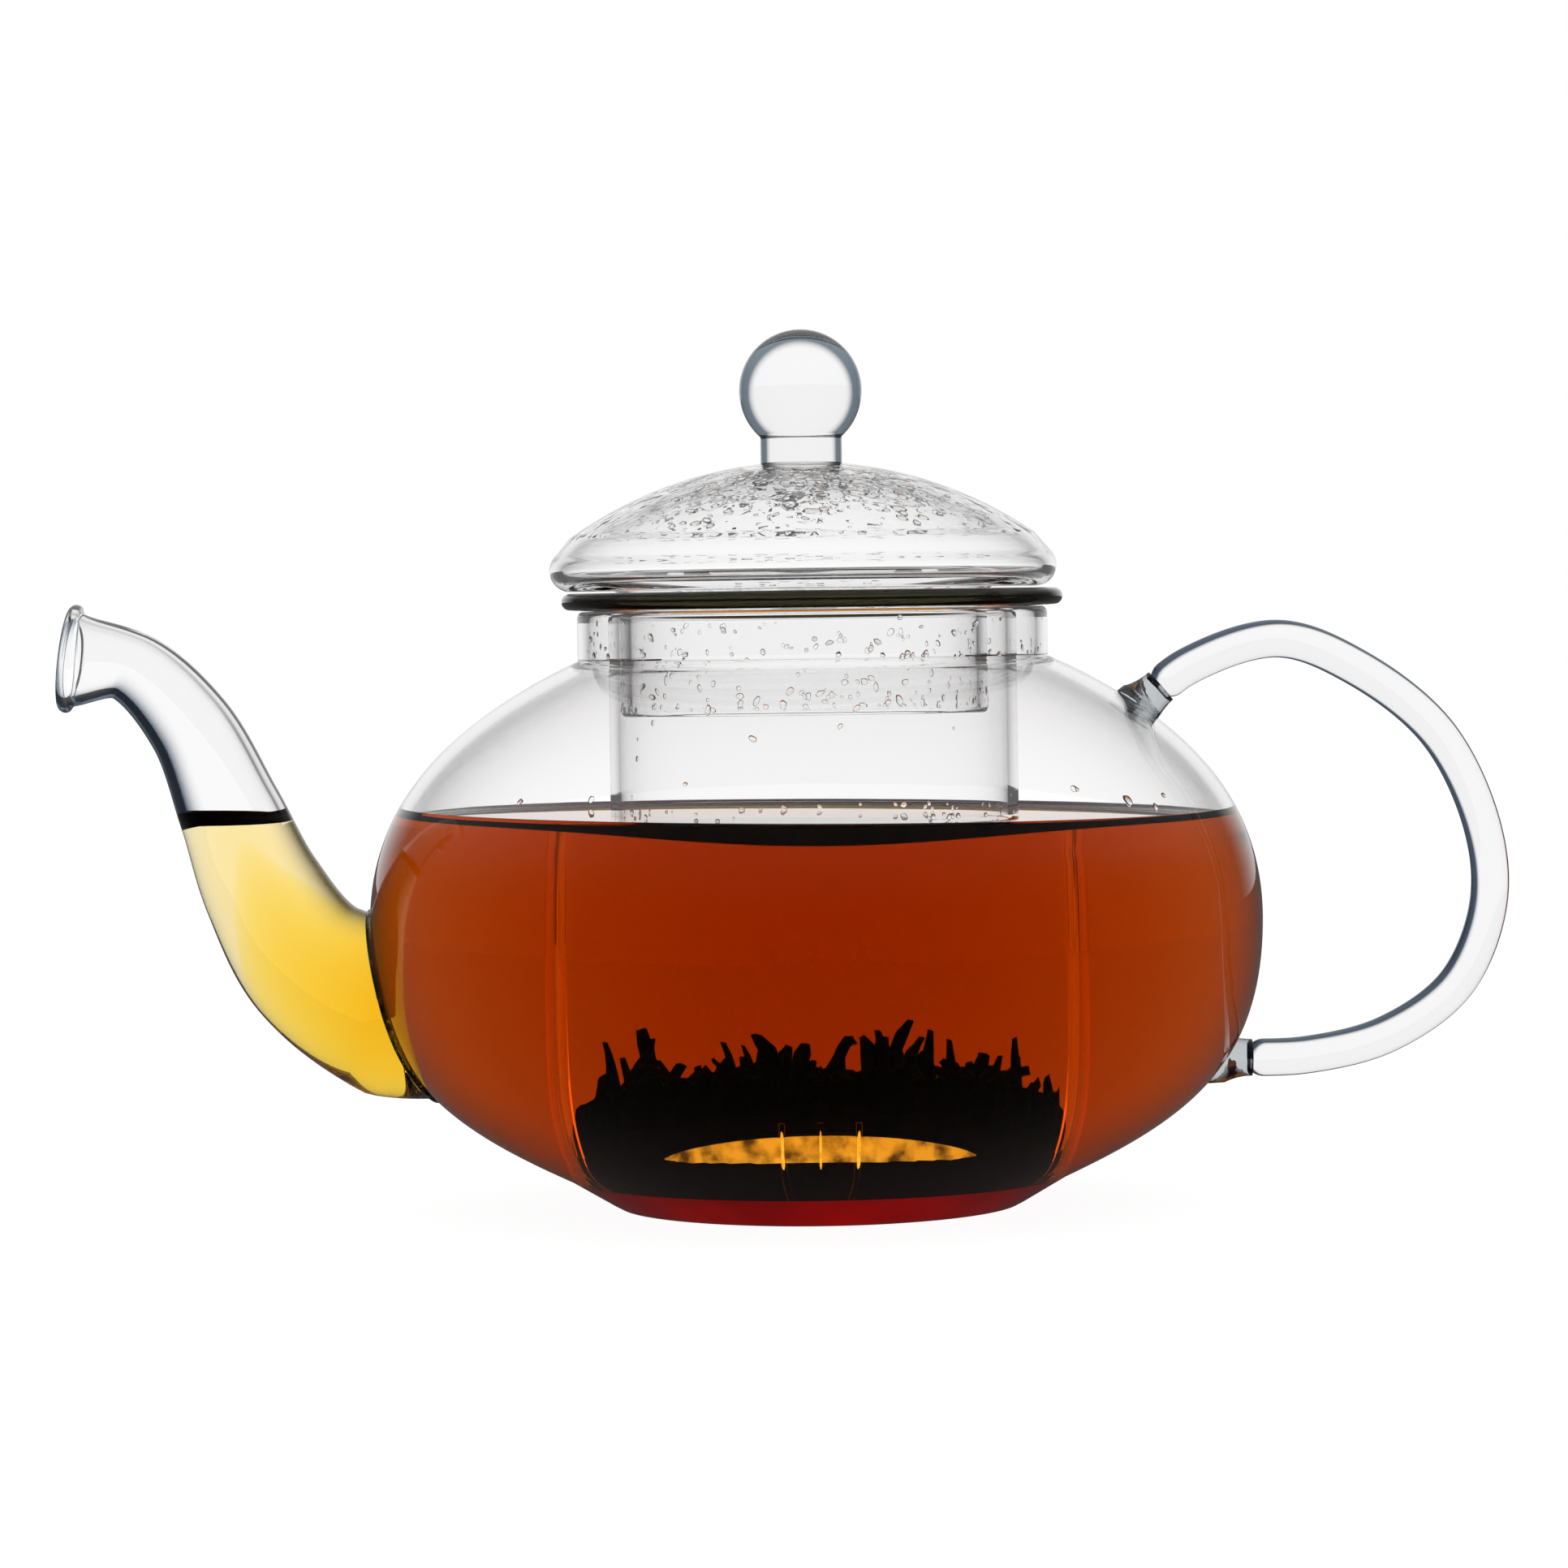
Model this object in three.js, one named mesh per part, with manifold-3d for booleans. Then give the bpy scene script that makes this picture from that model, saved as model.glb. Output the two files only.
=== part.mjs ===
// Glass teapot with a lift-out glass infuser and a knobbed glass lid.
// Millimetres, +Z up, spout towards -X, handle towards +X, origin at the middle of the base.
import * as THREE from 'three';
import { mergeVertices } from 'three/addons/utils/BufferGeometryUtils.js';
import Module from 'manifold-3d';

const wasm = await Module();
wasm.setup();

// ---- driving dimensions ----

const seatGap = 0.3; // between glass pieces that rest on or are fused to each other

// bowl, foot and neck
const bowlRadius = 77.8;
const beltHeight = 50; // where the bowl is widest
const shoulderHeight = 95.5; // where the bowl turns up into the neck
const bowlWall = 2;
const baseThickness = 3.2;
const footRadius = 44;
const footHeight = 5.4;
const footRoll = 10.4; // foot radius less the radius of the disc it stands on
const neckRadius = 41;
const neckHeight = 8.6;

// infuser
const neckClearance = 3.4; // infuser inside the neck, on the radius
const infuserWall = 1.8;
const infuserClearance = 4.8; // under the infuser, above the bowl's base
const infuserCorner = 15; // outside radius of its rounded bottom edge
const infuserKick = 3.5; // how far the middle of its bottom is pushed up
const flangeOverhang = 2.7; // flange beyond the neck
const flangeThickness = 2.9;

// strainer slits in the infuser
const slitWidth = 0.9;
const slitPitch = 5.9;
const slitRise = 1.5; // infuser's lowest point to the lower end of a slit
const slitLength = 16.5; // upright
const slitsPerGroup = 3;
const slitGroups = 4;

// lid
const collarClearance = 1.8; // collar inside the infuser, on the radius
const collarWall = 1.8;
const collarDepth = 21.5; // below the top of the flange
const lidOverhang = 0.5; // lid beyond the flange
const lidRise = 22.2; // underside of the rim bead to the top of the dome
const domeWall = 2.2;
const beadRadius = 3.7;
const beadRise = 5.7; // middle of the rim bead to where the dome's curve ends
const knobRadius = 10.7;
const knobNeckRadius = 7.1;
const knobNeckHeight = 4.3;

// spout
const spoutReach = 51.6; // middle of the mouth beyond the bowl
const spoutTipRise = 1.7; // middle of the mouth above the shoulder
const spoutRootDrop = 13.6; // middle of the root below the belt
const spoutWall = 1.8;
const spoutRootRadius = 16.6;
const spoutThroatRadius = 6.3; // narrowest, just behind the lip
const spoutMouthRadius = 8.7;
const spoutLedge = 2.3; // ring of bowl left inside the spout's root, round the hole
const seamRadius = 1.7; // bead of glass round the root

// handle
const handleReach = 39.9; // middle of the rod beyond the bowl
const handleRodRadius = 3.3;
const handleTopDrop = 8.9; // upper end below the shoulder
const handleBottomDrop = 25.4; // lower end below the belt
const handleRise = 11.2; // top of the loop above its upper end
const weldRadius = 4.4;
const weldLength = 5;

// facets
const bigRound = 40; // round the wide pieces
const tubeRound = 18; // round the spout
const rodRound = 14; // round the handle
const knobRound = 28;
const seamRound = 8; // round the bead of the seam
const seamSteps = 28; // along the seam
const spoutSteps = 24; // along the outside of the spout

// ---- sizes that follow ----

const footFlatRadius = footRadius - footRoll;
const neckInside = neckRadius - bowlWall;
const neckTop = shoulderHeight + neckHeight;
const infuserRadius = neckInside - neckClearance;
const infuserInside = infuserRadius - infuserWall;
const infuserBottom = baseThickness + infuserClearance;
const flangeRadius = neckRadius + flangeOverhang;
const flangeBottom = neckTop + seatGap;
const flangeTop = flangeBottom + flangeThickness;
const slitBottom = infuserBottom + slitRise;
const collarRadius = infuserInside - collarClearance;
const lidRadius = flangeRadius + lidOverhang;
const lidShift = collarClearance - seatGap; // the loose lid has slid towards the spout
const beadBottom = flangeTop + seatGap;
const domeTop = beadBottom + lidRise;
const spoutTipHeight = shoulderHeight + spoutTipRise;
const spoutRootHeight = beltHeight - spoutRootDrop;
const spoutHoleRadius = spoutRootRadius - spoutWall - spoutLedge;
const handleTopHeight = shoulderHeight - handleTopDrop;
const handleBottomHeight = beltHeight - handleBottomDrop;

// ---- materials ----

function glass(color, roughness) {
  return new THREE.MeshStandardMaterial({
    color, roughness, metalness: 0, transparent: true, opacity: 0.35,
  });
}

const bowlGlass = glass(0xe6ecef, 0.04);
const fusedGlass = glass(0xc9d3da, 0.06);
const infuserGlass = glass(0xe9eef0, 0.05);
const lidGlass = glass(0xe4eaee, 0.05);

// ---- helpers ----

const point = (x, y) => new THREE.Vector2(x, y);

function lathe(profile, facets = bigRound) {
  const geometry = new THREE.LatheGeometry(profile, facets);
  return geometry.rotateX(Math.PI / 2);
}

function toSolid(geometry) {
  const bare = geometry.clone();
  bare.deleteAttribute('normal');
  bare.deleteAttribute('uv');
  const merged = mergeVertices(bare, 1e-4);
  return new wasm.Manifold(new wasm.Mesh({
    numProp: 3,
    vertProperties: new Float32Array(merged.attributes.position.array),
    triVerts: new Uint32Array(merged.index.array),
  }));
}

function toGeometry(solid) {
  const mesh = solid.getMesh();
  const geometry = new THREE.BufferGeometry();
  geometry.setAttribute('position', new THREE.BufferAttribute(mesh.vertProperties, 3));
  geometry.setIndex(new THREE.BufferAttribute(mesh.triVerts, 1));
  geometry.computeVertexNormals();
  return geometry;
}

// an arc of a profile about (x, y), angles in degrees from +x
function arc(x, y, radius, from, to, steps) {
  return Array.from({ length: steps + 1 }, (_, i) => {
    const angle = THREE.MathUtils.degToRad(from + (to - from) * i / steps);
    return point(x + radius * Math.cos(angle), y + radius * Math.sin(angle));
  });
}

// points along a flat curve, moved out along its right-hand normal
function offsetAlong(curve, distance, steps) {
  return Array.from({ length: steps + 1 }, (_, i) => {
    const place = curve.getPoint(i / steps);
    const along = curve.getTangent(i / steps);
    return point(place.x + distance * along.y, place.y - distance * along.x);
  });
}

// a curve read by share of its length, so that stretches along it have exact lengths
function byLength(curve) {
  return {
    length: curve.getLength(),
    getPoint: (t) => curve.getPointAt(t),
    getTangent: (t) => curve.getTangentAt(t),
  };
}

// round sections of radius size(t) strung along a curve that lies in the XZ plane
function sections(curve, from, to, steps, size) {
  return Array.from({ length: steps + 1 }, (_, i) => {
    const t = from + (to - from) * i / steps;
    const centre = curve.getPoint(t);
    const along = curve.getTangent(t);
    return { centre, across: new THREE.Vector3(-along.z, 0, along.x), radius: size(t) };
  });
}

// skins a list of sections; a closed one joins its last section to its first, an open one is capped
function skin(rings, facets, closed = false) {
  const corners = [];
  const faces = [];
  rings.forEach(({ centre, across, radius }) => {
    for (let i = 0; i < facets; i += 1) {
      const angle = 2 * Math.PI * i / facets;
      const corner = centre.clone().addScaledVector(across, radius * Math.cos(angle));
      corner.y += radius * Math.sin(angle);
      corners.push(...corner.toArray());
    }
  });
  const spans = closed ? rings.length : rings.length - 1;
  for (let r = 0; r < spans; r += 1) {
    const near = r * facets;
    const far = ((r + 1) % rings.length) * facets;
    for (let i = 0; i < facets; i += 1) {
      const next = (i + 1) % facets;
      faces.push(near + i, far + next, near + next, near + i, far + i, far + next);
    }
  }
  if (!closed) {
    const last = (rings.length - 1) * facets;
    for (let i = 1; i < facets - 1; i += 1) {
      faces.push(0, i, i + 1, last, last + i + 1, last + i);
    }
  }
  const geometry = new THREE.BufferGeometry();
  geometry.setAttribute('position', new THREE.Float32BufferAttribute(corners, 3));
  geometry.setIndex(faces);
  geometry.computeVertexNormals();
  return geometry;
}

const teapot = new THREE.Group();

function addMesh(name, shape, material) {
  const geometry = shape.isBufferGeometry ? shape : toGeometry(shape);
  const mesh = new THREE.Mesh(geometry, material);
  mesh.name = name;
  teapot.add(mesh);
  return mesh;
}

// ---- bowl ----

// how full the flanks are: how far each curve is pulled from its ends, in shares of its span
const footPull = point(0.61, 0.22);
const bellyDrop = 0.58;
const bellyLift = 0.5;
const shoulderPull = point(0.556, 0.206);
const footEdge = point(3, 1); // turned edge between the flat disc and the foot
const flankSteps = 7;

const lowerSpan = point(bowlRadius - footRadius, beltHeight - footHeight);
const lowerFlank = new THREE.CubicBezierCurve(
  point(footRadius, footHeight),
  point(footRadius, footHeight).add(footPull.multiply(lowerSpan)),
  point(bowlRadius, beltHeight - bellyDrop * lowerSpan.y),
  point(bowlRadius, beltHeight),
);
const upperSpan = point(neckRadius - bowlRadius, shoulderHeight - beltHeight);
const upperFlank = new THREE.CubicBezierCurve(
  point(bowlRadius, beltHeight),
  point(bowlRadius, beltHeight + bellyLift * upperSpan.y),
  point(neckRadius, shoulderHeight).sub(shoulderPull.multiply(upperSpan)),
  point(neckRadius, shoulderHeight),
);

function flanks(distance) {
  const upper = offsetAlong(upperFlank, distance, flankSteps);
  return [...offsetAlong(lowerFlank, distance, flankSteps), ...upper.slice(1)];
}

// the bowl as a full solid, grown by a distance: what is fused to the bowl is cut with it
function bowlBlock(growth) {
  const profile = [
    point(0, -growth),
    point(footFlatRadius, -growth),
    ...flanks(growth),
    point(neckRadius + growth, neckTop),
    point(0, neckTop),
  ];
  return toSolid(lathe(profile));
}

function bowlShell() {
  const rimRadius = bowlWall / 2;
  const inner = flanks(-bowlWall).reverse().filter((p) => p.x > neckInside);
  return toSolid(lathe([
    point(0, 0),
    point(footFlatRadius, 0),
    point(footFlatRadius, 0).add(footEdge),
    ...flanks(0),
    ...arc(neckRadius - rimRadius, neckTop - rimRadius, rimRadius, 0, 180, 6),
    point(neckInside, shoulderHeight - bowlWall / 2),
    ...inner,
    point(footFlatRadius - bowlWall / 2, baseThickness),
    point(0, baseThickness),
  ]));
}

// outside radius of the bowl at a height on its flanks, by halving
function bowlRadiusAt(height) {
  const flank = height > beltHeight ? upperFlank : lowerFlank;
  let low = 0;
  let high = 1;
  for (let i = 0; i < 40; i += 1) {
    const middle = (low + high) / 2;
    if (flank.getPoint(middle).y < height) {
      low = middle;
    } else {
      high = middle;
    }
  }
  return flank.getPoint(low).x;
}

// ---- spout ----

const spoutRise = spoutTipHeight - spoutRootHeight;

// a place on the spout's middle line, as shares of its reach beyond the bowl and of its rise
function spoutPlace(out, up) {
  return new THREE.Vector3(-bowlRadius - out * spoutReach, 0, spoutRootHeight + up * spoutRise);
}

const spoutLine = byLength(new THREE.CatmullRomCurve3([
  spoutPlace(-0.42, 0),
  spoutPlace(-0.04, 0.005),
  spoutPlace(0.2, 0.115),
  spoutPlace(0.36, 0.325),
  spoutPlace(0.47, 0.555),
  spoutPlace(0.6, 0.8),
  spoutPlace(0.8, 0.975),
  spoutPlace(1, 1),
], false, 'centripetal'));

// shares of the way along the middle line, from inside the bowl to the mouth
const rootAt = 0.18;
const throatAt = 0.91;

// the taper from root to throat: a quick flare at the root and an even one all the way
const rootFlare = 0.26; // share of the taper that the quick flare takes
const rootFlarePower = 9;
const evenPower = 1.14;
const lipPower = 1.6; // how late the lip flares

function spoutRadius(t) {
  if (t > throatAt) {
    const flare = (t - throatAt) / (1 - throatAt);
    return spoutThroatRadius + (spoutMouthRadius - spoutThroatRadius) * flare ** lipPower;
  }
  const left = 1 - Math.max(0, (t - rootAt) / (throatAt - rootAt));
  const taper = rootFlare * left ** rootFlarePower + (1 - rootFlare) * left ** evenPower;
  return spoutThroatRadius + (spoutRootRadius - spoutThroatRadius) * taper;
}

function spoutTube() {
  const lipRadius = spoutWall / 2;
  const outer = sections(spoutLine, 0, 1, spoutSteps, spoutRadius);
  const tip = outer[outer.length - 1];
  const lip = [-45, 0, 45].map((degrees) => {
    const angle = THREE.MathUtils.degToRad(degrees);
    const out = lipRadius * Math.cos(angle);
    const centre = tip.centre.clone().addScaledVector(spoutLine.getTangent(1), out);
    const radius = tip.radius - lipRadius - lipRadius * Math.sin(angle);
    return { centre, across: tip.across, radius };
  });
  const inner = sections(spoutLine, 1, 0, 18, (t) => spoutRadius(t) - spoutWall);
  return toSolid(skin([...outer, ...lip, ...inner], tubeRound, true));
}

function spoutHole() {
  const hole = new THREE.CylinderGeometry(spoutHoleRadius, spoutHoleRadius, bowlRadius, tubeRound);
  const along = spoutLine.getTangent(rootAt);
  const turn = new THREE.Quaternion().setFromUnitVectors(new THREE.Vector3(0, 1, 0), along);
  const centre = spoutLine.getPoint(rootAt);
  hole.applyQuaternion(turn).translate(centre.x, 0, centre.z);
  return toSolid(hole);
}

// ---- seam between spout and bowl ----

// where the line down the spout's outside, at an angle round it, meets the bowl
function seamPoint(angle) {
  const place = new THREE.Vector3();
  let inside = 0;
  let outside = 0.5;
  for (let i = 0; i < 40; i += 1) {
    const t = (inside + outside) / 2;
    const along = spoutLine.getTangent(t);
    const across = new THREE.Vector3(-along.z, 0, along.x);
    place.copy(spoutLine.getPoint(t)).addScaledVector(across, spoutRadius(t) * Math.cos(angle));
    place.y = spoutRadius(t) * Math.sin(angle);
    if (Math.hypot(place.x, place.y) < bowlRadiusAt(place.z)) {
      inside = t;
    } else {
      outside = t;
    }
  }
  return place;
}

function seamRing() {
  const places = Array.from(
    { length: seamSteps },
    (_, i) => seamPoint(2 * Math.PI * i / seamSteps),
  );
  const line = new THREE.CatmullRomCurve3(places, true);
  const corners = [];
  const faces = [];
  for (let i = 0; i < seamSteps; i += 1) {
    const along = line.getTangent(i / seamSteps);
    const out = places[i].clone().setZ(0).normalize();
    const side = new THREE.Vector3().crossVectors(along, out).normalize();
    const lift = new THREE.Vector3().crossVectors(side, along);
    for (let j = 0; j < seamRound; j += 1) {
      const angle = 2 * Math.PI * j / seamRound;
      const corner = places[i].clone()
        .addScaledVector(side, seamRadius * Math.cos(angle))
        .addScaledVector(lift, seamRadius * Math.sin(angle));
      corners.push(...corner.toArray());
      const next = (i + 1) % seamSteps;
      const turn = (j + 1) % seamRound;
      const [a, b] = [i * seamRound + j, i * seamRound + turn];
      const [c, d] = [next * seamRound + j, next * seamRound + turn];
      faces.push(a, d, b, a, c, d);
    }
  }
  const geometry = new THREE.BufferGeometry();
  geometry.setAttribute('position', new THREE.Float32BufferAttribute(corners, 3));
  geometry.setIndex(faces);
  const around = sections(spoutLine, 0, 1, spoutSteps, (t) => spoutRadius(t) + seatGap);
  return toSolid(geometry)
    .subtract(bowlBlock(seatGap))
    .subtract(toSolid(skin(around, tubeRound)));
}

// ---- handle ----

const handleSpan = handleTopHeight - handleBottomHeight;

// a place on the loop: share of the reach beyond the bowl, share of the height between its ends
function handlePlace(out, up) {
  return new THREE.Vector3(bowlRadius + out * handleReach, 0, handleBottomHeight + up * handleSpan);
}

const handleTopEnd = new THREE.Vector3(bowlRadiusAt(handleTopHeight), 0, handleTopHeight);
const handleBottomEnd = new THREE.Vector3(bowlRadiusAt(handleBottomHeight), 0, handleBottomHeight);
const crestShare = 0.4; // of the way from the upper end out to the rod's farthest place
const riseShoulder = point(0.36, 0.6); // a place between the upper end and the crest: shares out and up
const handleCrest = new THREE.Vector3(
  handleTopEnd.x + crestShare * (bowlRadius + handleReach - handleTopEnd.x),
  0,
  handleTopHeight + handleRise,
);
const handleLine = byLength(new THREE.CatmullRomCurve3([
  handleTopEnd,
  handleTopEnd.clone().lerp(handleCrest, riseShoulder.x).setZ(handleTopHeight + riseShoulder.y * handleRise),
  handleCrest,
  handlePlace(0.42, 1.1),
  handlePlace(0.78, 0.91),
  handlePlace(0.975, 0.64),
  handlePlace(0.995, 0.42),
  handlePlace(0.85, 0.2),
  handlePlace(0.55, 0.062),
  handlePlace(0.2, 0.006),
  handleBottomEnd,
], false, 'centripetal'));

const weldShare = weldLength / handleLine.length;
const gapShare = seatGap / handleLine.length;

function handleRod() {
  const from = weldShare + gapShare;
  return skin(sections(handleLine, from, 1 - from, 36, () => handleRodRadius), rodRound);
}

// a foot that flares from the rod on to the bowl
function weldFoot(end, inward) {
  const flare = (t) => {
    const share = Math.abs(t - end) / weldShare;
    return handleRodRadius + (weldRadius - handleRodRadius) * (1 - share) ** 2;
  };
  const rings = sections(handleLine, end, end + inward * weldShare, 5, flare);
  const root = rings[0];
  const sunk = handleLine.getTangent(end).multiplyScalar(-inward * bowlWall);
  rings.unshift({ ...root, centre: root.centre.clone().add(sunk) });
  const ordered = inward > 0 ? rings : rings.reverse();
  return toSolid(skin(ordered, rodRound)).subtract(bowlBlock(seatGap));
}

// ---- infuser ----

const kickShoulder = point(0.6, 0.65); // a place on the pushed-up bottom: shares out and up
const slitStartShare = 0.33; // slits reach in under the rounded edge to this share of the inside radius

function infuserProfile(inset, steps) {
  const corner = infuserCorner - inset;
  const centreRadius = infuserRadius - infuserCorner;
  const centreHeight = infuserBottom + infuserCorner;
  return [
    point(0, infuserBottom + infuserKick + inset),
    point(kickShoulder.x * centreRadius, infuserBottom + kickShoulder.y * infuserKick + inset),
    ...arc(centreRadius, centreHeight, corner, -90, 0, steps),
  ];
}

function infuserTube() {
  const outer = infuserProfile(0, 6);
  const inner = infuserProfile(infuserWall, 5).reverse();
  const tube = toSolid(lathe([
    ...outer,
    point(infuserRadius, flangeBottom - seatGap),
    point(infuserInside, flangeBottom - seatGap),
    ...inner,
  ]));
  const slitStart = slitStartShare * infuserInside;
  const cutter = new THREE.BoxGeometry(infuserRadius, slitWidth, slitLength);
  cutter.translate(slitStart + infuserRadius / 2, 0, slitBottom + slitLength / 2);
  const pitchAngle = slitPitch / infuserRadius;
  let slit = tube;
  for (let group = 0; group < slitGroups; group += 1) {
    for (let i = 0; i < slitsPerGroup; i += 1) {
      const place = i - (slitsPerGroup - 1) / 2;
      const angle = 2 * Math.PI * group / slitGroups + place * pitchAngle;
      slit = slit.subtract(toSolid(cutter.clone().rotateZ(angle)));
    }
  }
  return slit;
}

function infuserFlange() {
  const edge = flangeThickness / 2;
  return lathe([
    point(infuserInside, flangeBottom),
    ...arc(flangeRadius - edge, flangeBottom + edge, edge, -90, 90, 6),
    point(infuserInside, flangeTop),
    point(infuserInside, flangeBottom),
  ]);
}

// ---- lid ----

const beadCentre = point(lidRadius - beadRadius, beadBottom + beadRadius);

// radius of the circle through the top of the dome and the place above the rim bead's middle
const domeDrop = domeTop - beadCentre.y - beadRise;
const domeRadius = (beadCentre.x ** 2 + domeDrop ** 2) / (2 * domeDrop);

function domeArc(inset, steps) {
  const centreHeight = domeTop - domeRadius;
  const reach = beadCentre.x - inset;
  const last = THREE.MathUtils.radToDeg(Math.acos(reach / domeRadius));
  return arc(0, centreHeight, domeRadius - inset, 90, last, steps);
}

function lidDome() {
  const footInside = collarRadius + seatGap;
  const outer = [
    ...domeArc(0, 7),
    ...arc(beadCentre.x, beadCentre.y, beadRadius, 50, -90, 6),
    point(footInside, beadBottom),
  ];
  const inner = [
    point(footInside, beadBottom + domeWall),
    ...arc(beadCentre.x, beadCentre.y, beadRadius - domeWall, -90, 40, 3),
    ...domeArc(domeWall, 6).reverse(),
  ];
  return lathe([...outer, ...inner].reverse());
}

function lidCollar() {
  const bottom = flangeTop - collarDepth;
  const lip = collarWall / 2;
  const inside = collarRadius - collarWall;
  const top = beadBottom + domeWall;
  return lathe([
    point(inside, top),
    ...arc(collarRadius - lip, bottom + lip, lip, 180, 360, 5),
    point(collarRadius, top),
    point(inside, top),
  ]);
}

function lidKnob() {
  const bottom = domeTop + seatGap;
  const below = THREE.MathUtils.radToDeg(Math.acos(knobNeckRadius / knobRadius));
  const centre = domeTop + knobNeckHeight + Math.sqrt(knobRadius ** 2 - knobNeckRadius ** 2);
  return lathe([
    point(0, bottom),
    point(knobNeckRadius, bottom),
    ...arc(0, centre, knobRadius, -below, 90, 12).map((p) => point(Math.max(p.x, 0), p.y)),
  ], knobRound);
}

// ---- assembly ----

addMesh('pot_bowl', bowlShell().subtract(spoutHole()), bowlGlass);
addMesh('spout', spoutTube().subtract(bowlBlock(seatGap)), bowlGlass);
addMesh('spout_seam', seamRing(), fusedGlass);
addMesh('handle', handleRod(), bowlGlass);
addMesh('handle_upper_weld', weldFoot(0, 1), fusedGlass);
addMesh('handle_lower_weld', weldFoot(1, -1), fusedGlass);
addMesh('infuser_tube', infuserTube(), infuserGlass);
addMesh('infuser_flange', infuserFlange(), infuserGlass);
const lidPieces = [
  addMesh('lid_dome', lidDome(), lidGlass),
  addMesh('lid_collar', lidCollar(), lidGlass),
  addMesh('lid_knob', lidKnob(), lidGlass),
];
lidPieces.forEach((piece) => piece.position.setX(-lidShift));

export default teapot;
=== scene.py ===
import math
import random
import bmesh
import bpy
from mathutils import Matrix, Vector


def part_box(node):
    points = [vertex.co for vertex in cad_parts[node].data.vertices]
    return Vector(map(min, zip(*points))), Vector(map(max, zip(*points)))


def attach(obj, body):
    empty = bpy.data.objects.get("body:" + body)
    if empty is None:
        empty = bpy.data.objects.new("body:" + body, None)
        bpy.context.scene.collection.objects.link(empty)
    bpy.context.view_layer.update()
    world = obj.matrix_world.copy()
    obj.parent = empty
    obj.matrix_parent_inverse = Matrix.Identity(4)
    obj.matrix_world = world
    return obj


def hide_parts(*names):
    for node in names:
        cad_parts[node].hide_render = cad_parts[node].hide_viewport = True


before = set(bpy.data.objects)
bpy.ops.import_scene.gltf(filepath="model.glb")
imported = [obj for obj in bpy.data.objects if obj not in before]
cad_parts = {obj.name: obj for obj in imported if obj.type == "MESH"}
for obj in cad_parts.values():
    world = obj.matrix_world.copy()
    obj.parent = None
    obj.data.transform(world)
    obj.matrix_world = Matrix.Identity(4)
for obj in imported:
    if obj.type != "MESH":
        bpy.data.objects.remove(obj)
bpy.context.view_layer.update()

print("frame loaded:", len(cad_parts), "nodes")


# sizes, in metres, read from the frame

def boxOf(node):
    low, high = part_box(node)
    return Vector(low), Vector(high)


bowlHigh = boxOf("pot_bowl")[1]
tubeLow, tubeHigh = boxOf("infuser_tube")
flangeLow, flangeHigh = boxOf("infuser_flange")
domeLow, domeHigh = boxOf("lid_dome")
collarLow, collarHigh = boxOf("lid_collar")
knobLow, knobHigh = boxOf("lid_knob")

pot = {
    "radius": bowlHigh.x,
    "neckTop": bowlHigh.z,
    "belt": 0.050,          # height of the widest place
    "shoulder": 0.0955,     # height where the neck starts
    "neckRadius": 0.041,
    "wall": 0.002,
    "base": 0.0032,
    "footRadius": 0.044,
    "footHeight": 0.0054,
    "footFlat": 0.0336,
    "holeRadius": 0.0128,   # through the bowl, behind the spout
    "footPull": (0.61, 0.22),       # how full the flanks are: pulls of their curves, in shares of a span
    "bellyDrop": 0.58,
    "bellyLift": 0.5,
    "neckPull": (0.556, 0.206),
    "segments": 192,
}

tea = {
    "level": 0.0683,
    "slope": -0.0135,       # the pot stands a little off plumb, and its tea stays level
    "meniscus": 0.0012,     # how far the tea climbs the glass
    "meniscusReach": 0.0035,
    "intoGlass": 0.001,     # the tea's skin lies this far inside the wall
}

infuser = {
    "radius": tubeHigh.x,
    "wall": 0.0018,
    "bottom": tubeLow.z,
    "corner": 0.015,
    "kick": 0.0035,
    "flangeRadius": flangeHigh.x,
    "flangeBottom": flangeLow.z,
    "flangeTop": flangeHigh.z,
    "slitWidth": 0.0009,
    "slitPitch": 0.0059,
    "slitBottom": 0.0095,
    "slitTop": 0.026,
    "slitsPerGroup": 3,
    "slitGroups": 4,
}

lid = {
    "shift": 0.5 * (domeLow.x + domeHigh.x),
    "radius": 0.5 * (domeHigh.x - domeLow.x),
    "beadBottom": domeLow.z,
    "domeTop": domeHigh.z,
    "curve": 0.0704,
    "wall": 0.0022,
    "bead": 0.0037,
    "collarRadius": 0.5 * (collarHigh.x - collarLow.x),
    "collarWall": 0.0018,
    "collarBottom": collarLow.z,
    "knobRadius": 0.5 * (knobHigh.x - knobLow.x),
    "knobTop": knobHigh.z,
    "neckRadius": 0.0071,
}


# curves and profiles

# points and unit tangents of a flat cubic curve
def bezier(a, b, c, d, steps):
    out = []
    for i in range(steps + 1):
        t = i / steps
        s = 1 - t
        place = [s ** 3 * a[k] + 3 * s * s * t * b[k] + 3 * s * t * t * c[k] + t ** 3 * d[k] for k in (0, 1)]
        along = [s * s * (b[k] - a[k]) + 2 * s * t * (c[k] - b[k]) + t * t * (d[k] - c[k]) for k in (0, 1)]
        size = math.hypot(*along)
        out.append((place, (along[0] / size, along[1] / size)))
    return out


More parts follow.
